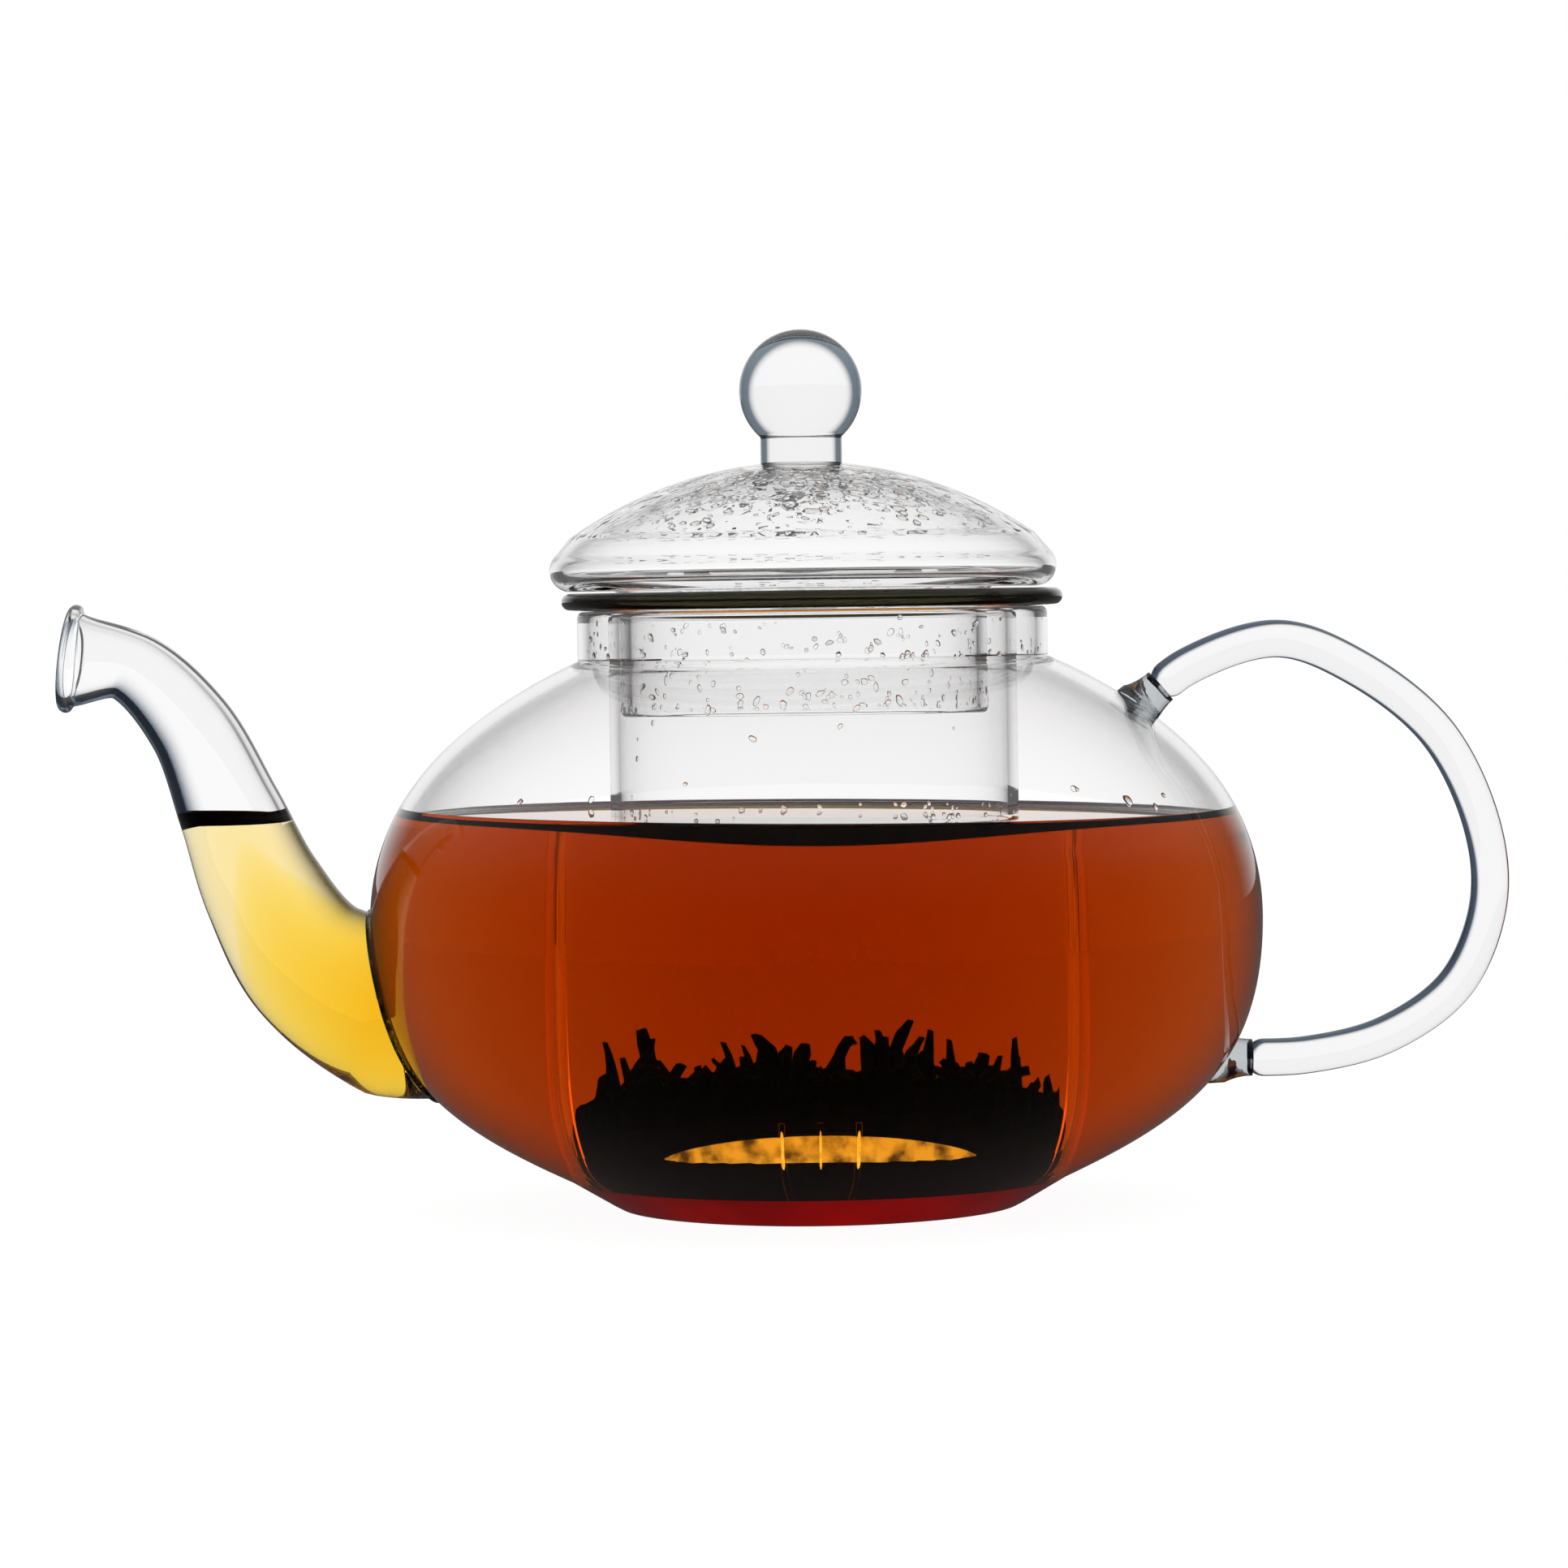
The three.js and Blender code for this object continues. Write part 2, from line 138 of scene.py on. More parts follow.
# the bowl's side from foot to neck, moved out by an offset
def flank(offset, steps=40):
    rise = pot["belt"] - pot["footHeight"]
    spread = pot["radius"] - pot["footRadius"]
    lower = bezier(
        (pot["footRadius"], pot["footHeight"]),
        (pot["footRadius"] + pot["footPull"][0] * spread, pot["footHeight"] + pot["footPull"][1] * rise),
        (pot["radius"], pot["belt"] - pot["bellyDrop"] * rise),
        (pot["radius"], pot["belt"]), steps)
    rise = pot["shoulder"] - pot["belt"]
    spread = pot["radius"] - pot["neckRadius"]
    upper = bezier(
        (pot["radius"], pot["belt"]),
        (pot["radius"], pot["belt"] + pot["bellyLift"] * rise),
        (pot["neckRadius"] + pot["neckPull"][0] * spread, pot["shoulder"] - pot["neckPull"][1] * rise),
        (pot["neckRadius"], pot["shoulder"]), steps)
    both = lower + upper[1:]
    return [(p[0] + offset * t[1], p[1] - offset * t[0]) for p, t in both]


bowlSide = flank(0, 80)


# outside radius of the bowl at a height
def radiusAt(height):
    for a, b in zip(bowlSide, bowlSide[1:]):
        if a[1] <= height <= b[1]:
            return a[0] + (b[0] - a[0]) * (height - a[1]) / max(b[1] - a[1], 1e-9)
    return bowlSide[0][0] if height < bowlSide[0][1] else bowlSide[-1][0]


def arc(x, z, radius, start, end, steps):
    angles = [math.radians(start + (end - start) * i / steps) for i in range(steps + 1)]
    return [(x + radius * math.cos(a), z + radius * math.sin(a)) for a in angles]


# a centripetal curve through points, as evenly spaced places and tangents
def catmull(points, steps):
    pts = [Vector(p) for p in points]
    first = pts[0] + (pts[0] - pts[1])
    last = pts[-1] + (pts[-1] - pts[-2])
    chain = [first] + pts + [last]
    dense = []
    for i in range(len(chain) - 3):
        p0, p1, p2, p3 = chain[i:i + 4]
        d = [max((b - a).length, 1e-9) ** 0.5 for a, b in ((p0, p1), (p1, p2), (p2, p3))]
        m1 = ((p1 - p0) / d[0] - (p2 - p0) / (d[0] + d[1]) + (p2 - p1) / d[1]) * d[1]
        m2 = ((p2 - p1) / d[1] - (p3 - p1) / (d[1] + d[2]) + (p3 - p2) / d[2]) * d[1]
        for j in range(steps):
            t = j / steps
            dense.append(p1 * (2 * t ** 3 - 3 * t * t + 1) + m1 * (t ** 3 - 2 * t * t + t)
                         + p2 * (3 * t * t - 2 * t ** 3) + m2 * (t ** 3 - t * t))
    dense.append(pts[-1])
    lengths = [0.0]
    for a, b in zip(dense, dense[1:]):
        lengths.append(lengths[-1] + (b - a).length)
    total = lengths[-1]

    def at(share):
        goal = min(max(share, 0), 1) * total
        k = 1
        while k < len(lengths) - 1 and lengths[k] < goal:
            k += 1
        part = (goal - lengths[k - 1]) / (lengths[k] - lengths[k - 1])
        return dense[k - 1].lerp(dense[k], part)

    def tangent(share):
        step = 0.004
        return (at(min(share + step, 1)) - at(max(share - step, 0))).normalized()

    return at, tangent, total


# the direction across a flat curve, in the XZ plane
def acrossOf(along):
    return Vector((-along.z, 0, along.x))


# a direction out from the Z axis
def spoke(angle, lift=0):
    return Vector((math.cos(angle), math.sin(angle), lift))


# mesh makers

def makeObject(name, verts, faces, material=None):
    mesh = bpy.data.meshes.new(name)
    mesh.from_pydata([tuple(v) for v in verts], [], faces)
    mesh.validate()
    bm = bmesh.new()
    bm.from_mesh(mesh)
    bmesh.ops.recalc_face_normals(bm, faces=bm.faces)
    bm.to_mesh(mesh)
    bm.free()
    for polygon in mesh.polygons:
        polygon.use_smooth = True
    obj = bpy.data.objects.new(name, mesh)
    bpy.context.collection.objects.link(obj)
    if material:
        mesh.materials.append(material)
    return obj


# a closed profile turned about Z; one that starts and ends on the axis gets poles
def revolve(name, profile, segments=192, shift=0.0, material=None):
    verts, rings = [], []
    for r, z in profile:
        count = segments if r > 1e-7 else 1
        rings.append([len(verts) + i % count for i in range(segments)])
        for i in range(count):
            a = 2 * math.pi * i / segments
            verts.append((shift + r * math.cos(a), r * math.sin(a), z))
    faces = []
    for near, far in zip(rings, rings[1:] + rings[:1]):
        for i in range(segments):
            j = (i + 1) % segments
            corners = tuple(dict.fromkeys((near[i], near[j], far[j], far[i])))     # a pole counts once
            if len(corners) > 2:
                faces.append(corners)
    return makeObject(name, verts, faces, material)


# faces between rings of corners that follow each other in the list, and what closes them off
def ringFaces(start, around, rings, ends="capped"):
    faces = []
    for row in range(rings if ends == "joined" else rings - 1):
        near = start + around * row
        far = start + around * ((row + 1) % rings)
        for k in range(around):
            m = (k + 1) % around
            faces.append((near + k, near + m, far + m, far + k))
    if ends == "capped":
        faces.append(tuple(range(start, start + around)))
        faces.append(tuple(range(start + around * (rings - 1), start + around * rings)))
    return faces


# a box between two corners
def makeBox(name, low, high):
    corners = [(x, y, z) for x in (low[0], high[0]) for y in (low[1], high[1]) for z in (low[2], high[2])]
    return makeObject(name, corners, boxFaces)


boxFaces = [(0, 1, 3, 2), (4, 6, 7, 5), (0, 4, 5, 1), (2, 3, 7, 6), (0, 2, 6, 4), (1, 5, 7, 3)]


# round sections (centre, across, radius) in the XZ plane, skinned
def sweep(name, rings, around=72, ends="capped", material=None):
    verts = []
    for centre, across, radius in rings:
        for i in range(around):
            a = 2 * math.pi * i / around
            verts.append(centre + across * (radius * math.cos(a)) + Vector((0, radius * math.sin(a), 0)))
    return makeObject(name, verts, ringFaces(0, around, len(rings), ends), material)


# a boolean whose result is written to the mesh
def cut(obj, cutter, operation="DIFFERENCE"):
    modifier = obj.modifiers.new("cut", "BOOLEAN")
    modifier.operation = operation
    modifier.solver = "EXACT"
    modifier.object = cutter
    graph = bpy.context.evaluated_depsgraph_get()
    mesh = bpy.data.meshes.new_from_object(obj.evaluated_get(graph))
    obj.modifiers.clear()
    obj.data = mesh
    bpy.data.objects.remove(cutter)
    return obj


# materials

def grey(value):
    return (value, value, value, 1)


# each input takes a plain value, or another node's output to link from
def feed(tree, node, inputs):
    for name, value in inputs.items():
        if isinstance(value, bpy.types.NodeSocket):
            tree.links.new(value, node.inputs[name])
        else:
            node.inputs[name].default_value = value


def addNode(tree, kind, inputs=None, **settings):
    node = tree.nodes.new("ShaderNode" + kind)
    for name, value in settings.items():
        setattr(node, name, value)
    feed(tree, node, inputs or {})
    return node


def smoothRange(tree, value, start, end, low=0, high=1):
    inputs = {"Value": value, "From Min": start, "From Max": end, "To Min": low, "To Max": high}
    return addNode(tree, "MapRange", inputs, interpolation_type="SMOOTHSTEP").outputs["Result"]


def mixColours(tree, share, near, far):
    return addNode(tree, "MixRGB", {0: share, 1: near, 2: far}).outputs[0]


def newMaterial(name):
    material = bpy.data.materials.new(name)
    material.use_nodes = True
    tree = material.node_tree
    tree.nodes.clear()
    shader = addNode(tree, "BsdfPrincipled")
    out = addNode(tree, "OutputMaterial", {"Surface": shader.outputs[0]})
    return material, tree, shader, out


# a node group: its tree, what comes in, and the node that takes what goes out
def newGroup(name, inputs, output, kind):
    tree = bpy.data.node_groups.new(name, "ShaderNodeTree")
    for socket, form in inputs.items():
        tree.interface.new_socket(name=socket, in_out="INPUT", socket_type="NodeSocket" + form)
    tree.interface.new_socket(name=output, in_out="OUTPUT", socket_type="NodeSocket" + kind)
    return tree, tree.nodes.new("NodeGroupInput").outputs, tree.nodes.new("NodeGroupOutput")


# slow waves in blown glass
def wavesGroup():
    tree, given, result = newGroup("blownWaves", {"Scale": "Float"}, "Height", "Float")
    place = addNode(tree, "TexCoord").outputs["Object"]
    noise = addNode(tree, "TexNoise", {"Vector": place, "Scale": given["Scale"], "Detail": 1.5})
    feed(tree, result, {"Height": noise.outputs["Fac"]})
    return tree


# how far a surface turns to one side of the pot, from -1 to 1, which sets where painted edge shade is darker
def sideGroup():
    tree, given, result = newGroup("sideShade", {"Toward": "Vector"}, "Side", "Float")
    normal = addNode(tree, "NewGeometry").outputs["Normal"]
    flat = addNode(tree, "VectorMath", {0: normal, 1: (1, 0, 1)}, operation="MULTIPLY").outputs[0]
    unit = addNode(tree, "VectorMath", {0: flat}, operation="NORMALIZE").outputs[0]
    dot = addNode(tree, "VectorMath", {0: unit, 1: given["Toward"]}, operation="DOT_PRODUCT")
    feed(tree, result, {"Side": dot.outputs["Value"]})
    return tree


# painted shade and painted glow: glass that turns from clear to an edge colour as it is seen more along its
# wall
def edgeGroup():
    inputs = {"Facing": "Float", "Start": "Float", "End": "Float", "Clear": "Color", "Edge": "Color"}
    tree, given, result = newGroup("paintedEdge", inputs, "Color", "Color")
    share = smoothRange(tree, given["Facing"], given["Start"], given["End"])
    feed(tree, result, {"Color": mixColours(tree, share, given["Clear"], given["Edge"])})
    return tree


# fine ripples of condensation between two heights, in the object's own metres
def mistGroup():
    inputs = {"Scale": "Float", "Low": "Float", "High": "Float"}
    tree, given, result = newGroup("mistRipples", inputs, "Height", "Float")
    place = addNode(tree, "TexCoord").outputs["Object"]
    noise = addNode(tree, "TexNoise", {"Vector": place, "Scale": 160}).outputs["Color"]
    bend = addNode(tree, "VectorMath", {0: noise, 1: (0.006,) * 3, 2: place}, operation="MULTIPLY_ADD")
    cells = addNode(tree, "TexVoronoi", feature="SMOOTH_F1")
    feed(tree, cells, {"Vector": bend.outputs["Vector"], "Scale": given["Scale"]})
    height = addNode(tree, "SeparateXYZ", {"Vector": place}).outputs["Z"]
    band = smoothRange(tree, height, given["Low"], given["High"])
    product = addNode(tree, "Math", {0: cells.outputs["Distance"], 1: band}, operation="MULTIPLY")
    feed(tree, result, {"Height": product.outputs[0]})
    return tree


# a cloudy change between two colours
def mottleGroup():
    inputs = {"Scale": "Float", "Dark": "Color", "Light": "Color"}
    tree, given, result = newGroup("mottle", inputs, "Color", "Color")
    place = addNode(tree, "TexCoord").outputs["Object"]
    noise = addNode(tree, "TexNoise", {"Vector": place, "Scale": given["Scale"], "Detail": 4.0})
    share = addNode(tree, "MapRange", {"Value": noise.outputs["Fac"], "From Min": 0.36, "From Max": 0.6})
    colour = mixColours(tree, share.outputs["Result"], given["Dark"], given["Light"])
    feed(tree, result, {"Color": colour})
    return tree


blownWaves = wavesGroup()
sideShade = sideGroup()
paintedEdge = edgeGroup()
mistRipples = mistGroup()
mottle = mottleGroup()

glassLook = {
    "ior": 1.33,                # low, because blown walls this thin hardly bend what is behind them
    "roughness": 0.0,
    "mirror": 0.12,             # strength of head-on reflections
    "clear": grey(0.985),
    # painted shade: the edge colour darkens the glass where it is seen along its wall, standing in for the
    # dark seen through it and mirrored in it there
    "edge": (0.62, 0.65, 0.68, 1),
    "edgeStart": 0.88,
    "edgeEnd": 1.0,
    "toward": (0, 0, 0),        # side on which the painted edge shade is darker
    "sideGain": 0.0,
    "waveScale": 45.0,
    "waveStrength": 0.02,
    "mist": None,               # scale, low, high and strength of condensation
    "glow": None,               # painted light: emission where the wall is seen along its length
    "glowStart": 0.66,
    "glowEnd": 0.9,
}


def makeGlass(name, **changes):
    look = dict(glassLook, **changes)
    material, tree, shader, out = newMaterial(name)
    # painted shade: the base colour darkens towards the edges, more on the side the look turns toward
    facing = addNode(tree, "LayerWeight", {"Blend": 0.5}).outputs["Facing"]
    side = addNode(tree, "Group", {"Toward": look["toward"]}, node_tree=sideShade)
    # 1 on the near wall, -1 where the far wall is seen from inside
    back = addNode(tree, "NewGeometry").outputs["Backfacing"]
    outward = addNode(tree, "Math", {0: back, 1: -2, 2: 1}, operation="MULTIPLY_ADD").outputs[0]
    turned = addNode(tree, "Math", {0: side.outputs["Side"], 1: outward}, operation="MULTIPLY").outputs[0]
    total = addNode(tree, "Math", {0: turned, 1: look["sideGain"], 2: facing}, operation="MULTIPLY_ADD")
    tint = addNode(tree, "Group", {
        "Facing": total.outputs[0], "Start": look["edgeStart"], "End": look["edgeEnd"],
        "Clear": look["clear"], "Edge": look["edge"]}, node_tree=paintedEdge)
    waves = addNode(tree, "Group", {"Scale": look["waveScale"]}, node_tree=blownWaves)
    bump = addNode(tree, "Bump", {
        "Strength": look["waveStrength"], "Distance": 0.001, "Height": waves.outputs["Height"]})
    if look["mist"]:
        scale, low, high, strength = look["mist"]
        mist = addNode(tree, "Group", {"Scale": scale, "Low": low, "High": high}, node_tree=mistRipples)
        bump = addNode(tree, "Bump", {
            "Strength": strength, "Distance": 0.001, "Height": mist.outputs["Height"],
            "Normal": bump.outputs["Normal"]})
    # painted light: the wall glows by itself where it is seen along its length
    if look["glow"]:
        along = addNode(tree, "Group", {
            "Facing": facing, "Start": look["glowStart"], "End": look["glowEnd"],
            "Clear": grey(0), "Edge": look["glow"]}, node_tree=paintedEdge)
        feed(tree, shader, {"Emission Color": along.outputs["Color"], "Emission Strength": 1.0})
    feed(tree, shader, {
        "Base Color": tint.outputs["Color"], "Normal": bump.outputs["Normal"], "Roughness": look["roughness"],
        "IOR": look["ior"], "Transmission Weight": 1.0, "Specular Tint": grey(look["mirror"])})
    return material


def makeLiquid(name, colour, density, ior=1.333, mirror=0.1):
    material, tree, shader, out = newMaterial(name)
    feed(tree, shader, {"Base Color": grey(1), "Roughness": 0.0, "IOR": ior, "Transmission Weight": 1.0,
                        "Specular Tint": grey(mirror)})
    absorb = addNode(tree, "VolumeAbsorption", {"Color": colour, "Density": density})
    feed(tree, out, {"Volume": absorb.outputs["Volume"]})
    return material


# an opaque surface mottled between two colours, with as much light of its own as glow says
def makeMottled(name, dark, light, scale, glow=0.0, roughness=0.5, ior=1.45):
    material, tree, shader, out = newMaterial(name)
    inputs = {"Scale": scale, "Dark": dark, "Light": light}
    colour = addNode(tree, "Group", inputs, node_tree=mottle).outputs["Color"]
    feed(tree, shader, {"Base Color": colour, "Roughness": roughness, "IOR": ior})
    if glow:
        feed(tree, shader, {"Emission Color": colour, "Emission Strength": glow})
    return material


# painted shade: each glass has its own dark edge colour, some a darker side too, standing in for the dark
# seen at its edges; the ones under the tea are separately shaded copies
bowlGlass = makeGlass("bowlGlass")
bowlTeaGlass = makeGlass("bowlTeaGlass", edge=(0.2, 0.18, 0.12, 1), edgeStart=0.5, edgeEnd=0.97)
spoutGlass = makeGlass("spoutGlass", clear=(0.93, 0.93, 0.935, 1), edge=(0.045, 0.075, 0.12, 1),
                       edgeStart=0.34, edgeEnd=0.68, toward=(-0.75, 0, -0.66), sideGain=0.34)
spoutRootGlass = makeGlass("spoutRootGlass", edge=(0.035, 0.03, 0.008, 1), edgeStart=0.42, edgeEnd=0.98,
                           toward=(0.8, 0, 0.6), sideGain=0.36)
rodGlass = makeGlass("rodGlass", ior=1.47, clear=grey(0.9), edge=(0.004, 0.009, 0.019, 1),
                     edgeStart=0.4, edgeEnd=0.56, toward=(-0.85, 0, 0.53), sideGain=0.32, mirror=0.3)
knobGlass = makeGlass("knobGlass", ior=1.47, clear=grey(0.9), edge=(0.03, 0.05, 0.07, 1),
                      edgeStart=0.32, edgeEnd=0.5, toward=(0, 0, 1), sideGain=0.05, mirror=0.3)
fusedGlass = makeGlass("fusedGlass", ior=1.47, clear=(0.30, 0.33, 0.35, 1), edge=(0.01, 0.015, 0.02, 1),
                       edgeStart=0.1, edgeEnd=0.8, waveScale=400, waveStrength=0.6)
weldGlass = makeGlass("weldGlass", ior=1.47, clear=(0.5, 0.53, 0.55, 1), edge=(0.02, 0.028, 0.035, 1),
                      edgeStart=0.2, edgeEnd=0.8, waveScale=300, waveStrength=0.4)
infuserGlass = makeGlass("infuserGlass", ior=1.22, clear=grey(0.97), edge=(0.8, 0.81, 0.82, 1))
# painted light: glass under the tea glows amber where it is seen along its length
wetGlass = makeGlass("wetGlass", ior=1.02, mirror=0.0, clear=grey(1), edge=grey(1), glow=(0.16, 0.05, 0.0, 1))
# painted shade: the flange rim is coloured near black for the dark it shows when seen edge on
rimGlass = makeGlass("rimGlass", clear=(0.0013, 0.0011, 0.0003, 1), edge=(0.0006, 0.0005, 0.0002, 1),
                     edgeStart=0.1, mirror=0.5)
lidGlass = makeGlass("lidGlass", ior=1.3, mist=(330, 0.112, 0.122, 0.07))
waterDrop = makeGlass("waterDrop", clear=grey(0.97), edge=(0.3, 0.33, 0.36, 1),
                      edgeStart=0.3, edgeEnd=0.9)
teaLiquid = makeLiquid("teaLiquid", (0.914, 0.73, 0.0, 1), 100)
spoutLiquid = makeLiquid("spoutLiquid", (0.985, 0.85, 0.36, 1), 90)
rootLiquid = makeLiquid("rootLiquid", (0.985, 0.88, 0.0, 1), 80, ior=1.0, mirror=0.0)
# painted shade: near black, for the dark bands along the tea line
teaLineShade = makeMottled("teaLineShade", (0.002, 0.0005, 0.0003, 1), (0.006, 0.001, 0.0005, 1), 300,
                      roughness=1.0, ior=1.0)
# painted light: these three glow by themselves, standing in for light carried up through the tea and the
# glass
kickGlow = makeMottled("kickGlow", (0.10, 0.06, 0.02, 1), (0.85, 0.60, 0.26, 1), 260, glow=1.1)
slitLight = makeMottled("slitLight", (0.8, 0.5, 0.12, 1), (1.0, 0.85, 0.45, 1), 900, glow=1.3)
baseGlow = makeMottled("baseGlow", (0.12, 0.0, 0.0, 1), (0.17, 0.0, 0.0, 1), 60, glow=1.0,
                       roughness=1.0, ior=1.0)
leafDark = makeMottled("leafDark", (0.002, 0.0012, 0.0006, 1), (0.008, 0.004, 0.0015, 1), 420,
                       roughness=0.8, ior=1.2)
print("materials made")


# bowl

def makeBowl():
    rim = pot["wall"] / 2
    inside = pot["neckRadius"] - pot["wall"]
    profile = [(0, 0), (pot["footFlat"], 0)]
    profile += [(pot["footFlat"] + 0.0015, 0.0002), (pot["footFlat"] + 0.003, 0.001)] + flank(0)
    profile += [(pot["neckRadius"], pot["shoulder"] + rise) for rise in (0.0003, 0.0008, 0.0066)]
    profile += arc(pot["neckRadius"] - rim, pot["neckTop"] - rim, rim, 0, 180, 10)
    profile += [(inside, pot["shoulder"] + rise) for rise in (0.0066, 0.0, -0.0006)]
    profile += [p for p in reversed(flank(-pot["wall"])) if p[0] > inside + 0.0004]
    profile += [(pot["footFlat"] - 0.001, pot["base"]), (0, pot["base"])]
    piece = cut(revolve("bowl", profile, pot["segments"], material=bowlGlass), spoutBore())
    # glass under the tea is a copy with a darker painted edge shade
    piece.data.materials.append(bowlTeaGlass)
    for polygon in piece.data.polygons:
        if polygon.center.z < tea["level"]:
            polygon.material_index = len(piece.data.materials) - 1
    return piece


# spout

spout = {
    "reach": 0.0516, "tipHeight": 0.0972, "rootHeight": 0.0364, "wall": 0.0018,
    "root": 0.0166, "throat": 0.0063, "mouth": 0.0087,
    "rootAt": 0.18, "throatAt": 0.91,       # shares of the way along the middle line
    "rootFlare": 0.26, "rootFlarePower": 9, "evenPower": 1.14, "lipPower": 1.6,
    "lipBead": 0.0013, "seam": 0.0008,
    "goldEnd": 0.56,                        # how far up the deeper gold of the tea reaches
    "teaAt": 0.6,                           # about where the tea's surface is
}


def spoutPlace(out, up):
    rise = spout["tipHeight"] - spout["rootHeight"]
    return (-pot["radius"] - out * spout["reach"], 0, spout["rootHeight"] + up * rise)


spoutAt, spoutAlong = catmull([
    spoutPlace(-0.42, 0), spoutPlace(-0.04, 0.005), spoutPlace(0.2, 0.115), spoutPlace(0.36, 0.325),
    spoutPlace(0.47, 0.555), spoutPlace(0.6, 0.8), spoutPlace(0.8, 0.975), spoutPlace(1, 1)], 60)[:2]


def spoutRadius(t):
    if t > spout["throatAt"]:
        flare = (t - spout["throatAt"]) / (1 - spout["throatAt"])
        return spout["throat"] + (spout["mouth"] - spout["throat"]) * flare ** spout["lipPower"]
    left = 1 - max(0.0, (t - spout["rootAt"]) / (spout["throatAt"] - spout["rootAt"]))
    taper = spout["rootFlare"] * left ** spout["rootFlarePower"]
    taper += (1 - spout["rootFlare"]) * left ** spout["evenPower"]
    return spout["throat"] + (spout["root"] - spout["throat"]) * taper


def spoutRings(start, end, steps, size):
    rings = []
    for i in range(steps + 1):
        t = start + (end - start) * i / steps
        rings.append((spoutAt(t), acrossOf(spoutAlong(t)), size(t)))
    return rings


# the bowl as a full body, grown by an offset, to cut with
def bowlBlock(offset):
    profile = [(0, -offset), (pot["footFlat"], -offset)] + flank(offset)
    profile += [(pot["neckRadius"] + offset, pot["neckTop"]), (0, pot["neckTop"])]
    return revolve("block", profile, 128)


def makeSpout():
    around = 96
    bead = spout["lipBead"]
    outer = spoutRings(0, 1, 110, spoutRadius)
    centre, across, radius = outer.pop()
    along = spoutAlong(1)
    turns = [math.radians(d) for d in range(-125, 81, 15)]
    rim = [(centre + along * (bead * math.cos(a)), across, radius - spout["wall"] + bead - bead * math.sin(a))
           for a in turns]
    inner = spoutRings(1, 0, 100, lambda t: spoutRadius(t) - spout["wall"])
    piece = sweep("spout", outer + rim + inner, around, "joined", spoutGlass)
    piece.data.materials.append(spoutRootGlass)
    piece.data.materials.append(bowlGlass)
    # painted shade: the spout under the tea takes a copy with its dark edge on the other side, and its inside
    # takes the bowl glass
    skinRings = len(outer) + len(rim)
    for polygon in piece.data.polygons:
        if polygon.index // around >= skinRings:
            polygon.material_index = 2
        elif polygon.center.z < tea["level"]:
            polygon.material_index = 1
    return cut(piece, bowlBlock(-0.0006))


def spoutBore():
    along = spoutAlong(spout["rootAt"])
    centre = spoutAt(spout["rootAt"])
    rings = [(centre + along * d, acrossOf(along), pot["holeRadius"]) for d in (-0.03, 0.02)]
    return sweep("bore", rings, 96)


# where the line down the spout's outside, at an angle round it, meets the bowl
def seamPoint(angle):
    inside, outside = 0.0, 0.5
    for step in range(40):
        t = (inside + outside) / 2
        place = spoutAt(t) + acrossOf(spoutAlong(t)) * (spoutRadius(t) * math.cos(angle))
        place.y = spoutRadius(t) * math.sin(angle)
        if math.hypot(place.x, place.y) < radiusAt(place.z):
            inside = t
        else:
            outside = t
    return place


# the bead of glass that closes the joint between spout and bowl
def makeSeam():
    count, around = 96, 16
    places = [seamPoint(2 * math.pi * i / count) for i in range(count)]
    verts = []
    for i in range(count):
        along = (places[(i + 1) % count] - places[i - 1]).normalized()
        out = Vector((places[i].x, places[i].y, 0)).normalized()
        side = along.cross(out).normalized()
        lift = side.cross(along)
        for j in range(around):
            a = 2 * math.pi * j / around
            verts.append(places[i] + (side * math.cos(a) + lift * math.sin(a)) * spout["seam"])
    return makeObject("spoutSeam", verts, ringFaces(0, around, count, "joined"), fusedGlass)


bowlPiece = makeBowl()
spoutPiece = makeSpout()
seamPiece = makeSeam()
print("bowl and spout made")


# tea

def makeTea():
    skin = tea["intoGlass"]
    side = [p for p in flank(-skin) if p[1] < tea["level"] + tea["meniscus"]]
    edge = side[-1][0]
    rise = []
    for i in range(12):
        share = i / 11
        rise.append((edge - tea["meniscusReach"] * share - 0.0002,
                     tea["level"] + tea["meniscus"] * (1 - share) ** 2.5))
    profile = [(0, pot["base"] - skin), (pot["footFlat"] - 0.0005, pot["base"] - skin)] + side
    profile += rise + [(0, tea["level"])]
    piece = revolve("tea", profile, pot["segments"], material=teaLiquid)
    for vertex in piece.data.vertices:
        if vertex.co.z > tea["level"] - 0.004:
            vertex.co.z += tea["slope"] * vertex.co.x
    return piece


spoutLevel = tea["level"] + tea["slope"] * spoutAt(spout["teaAt"]).x


def makeSpoutTea():
    rings = spoutRings(0, 0.75, 90, lambda t: spoutRadius(t) - spout["wall"] / 2)
    piece = cut(sweep("spoutTea", rings, 96, material=spoutLiquid), bowlBlock(-0.0015))
    size = 0.2
    return cut(piece, makeBox("top", (-size, -size, spoutLevel), (0, size, size)))


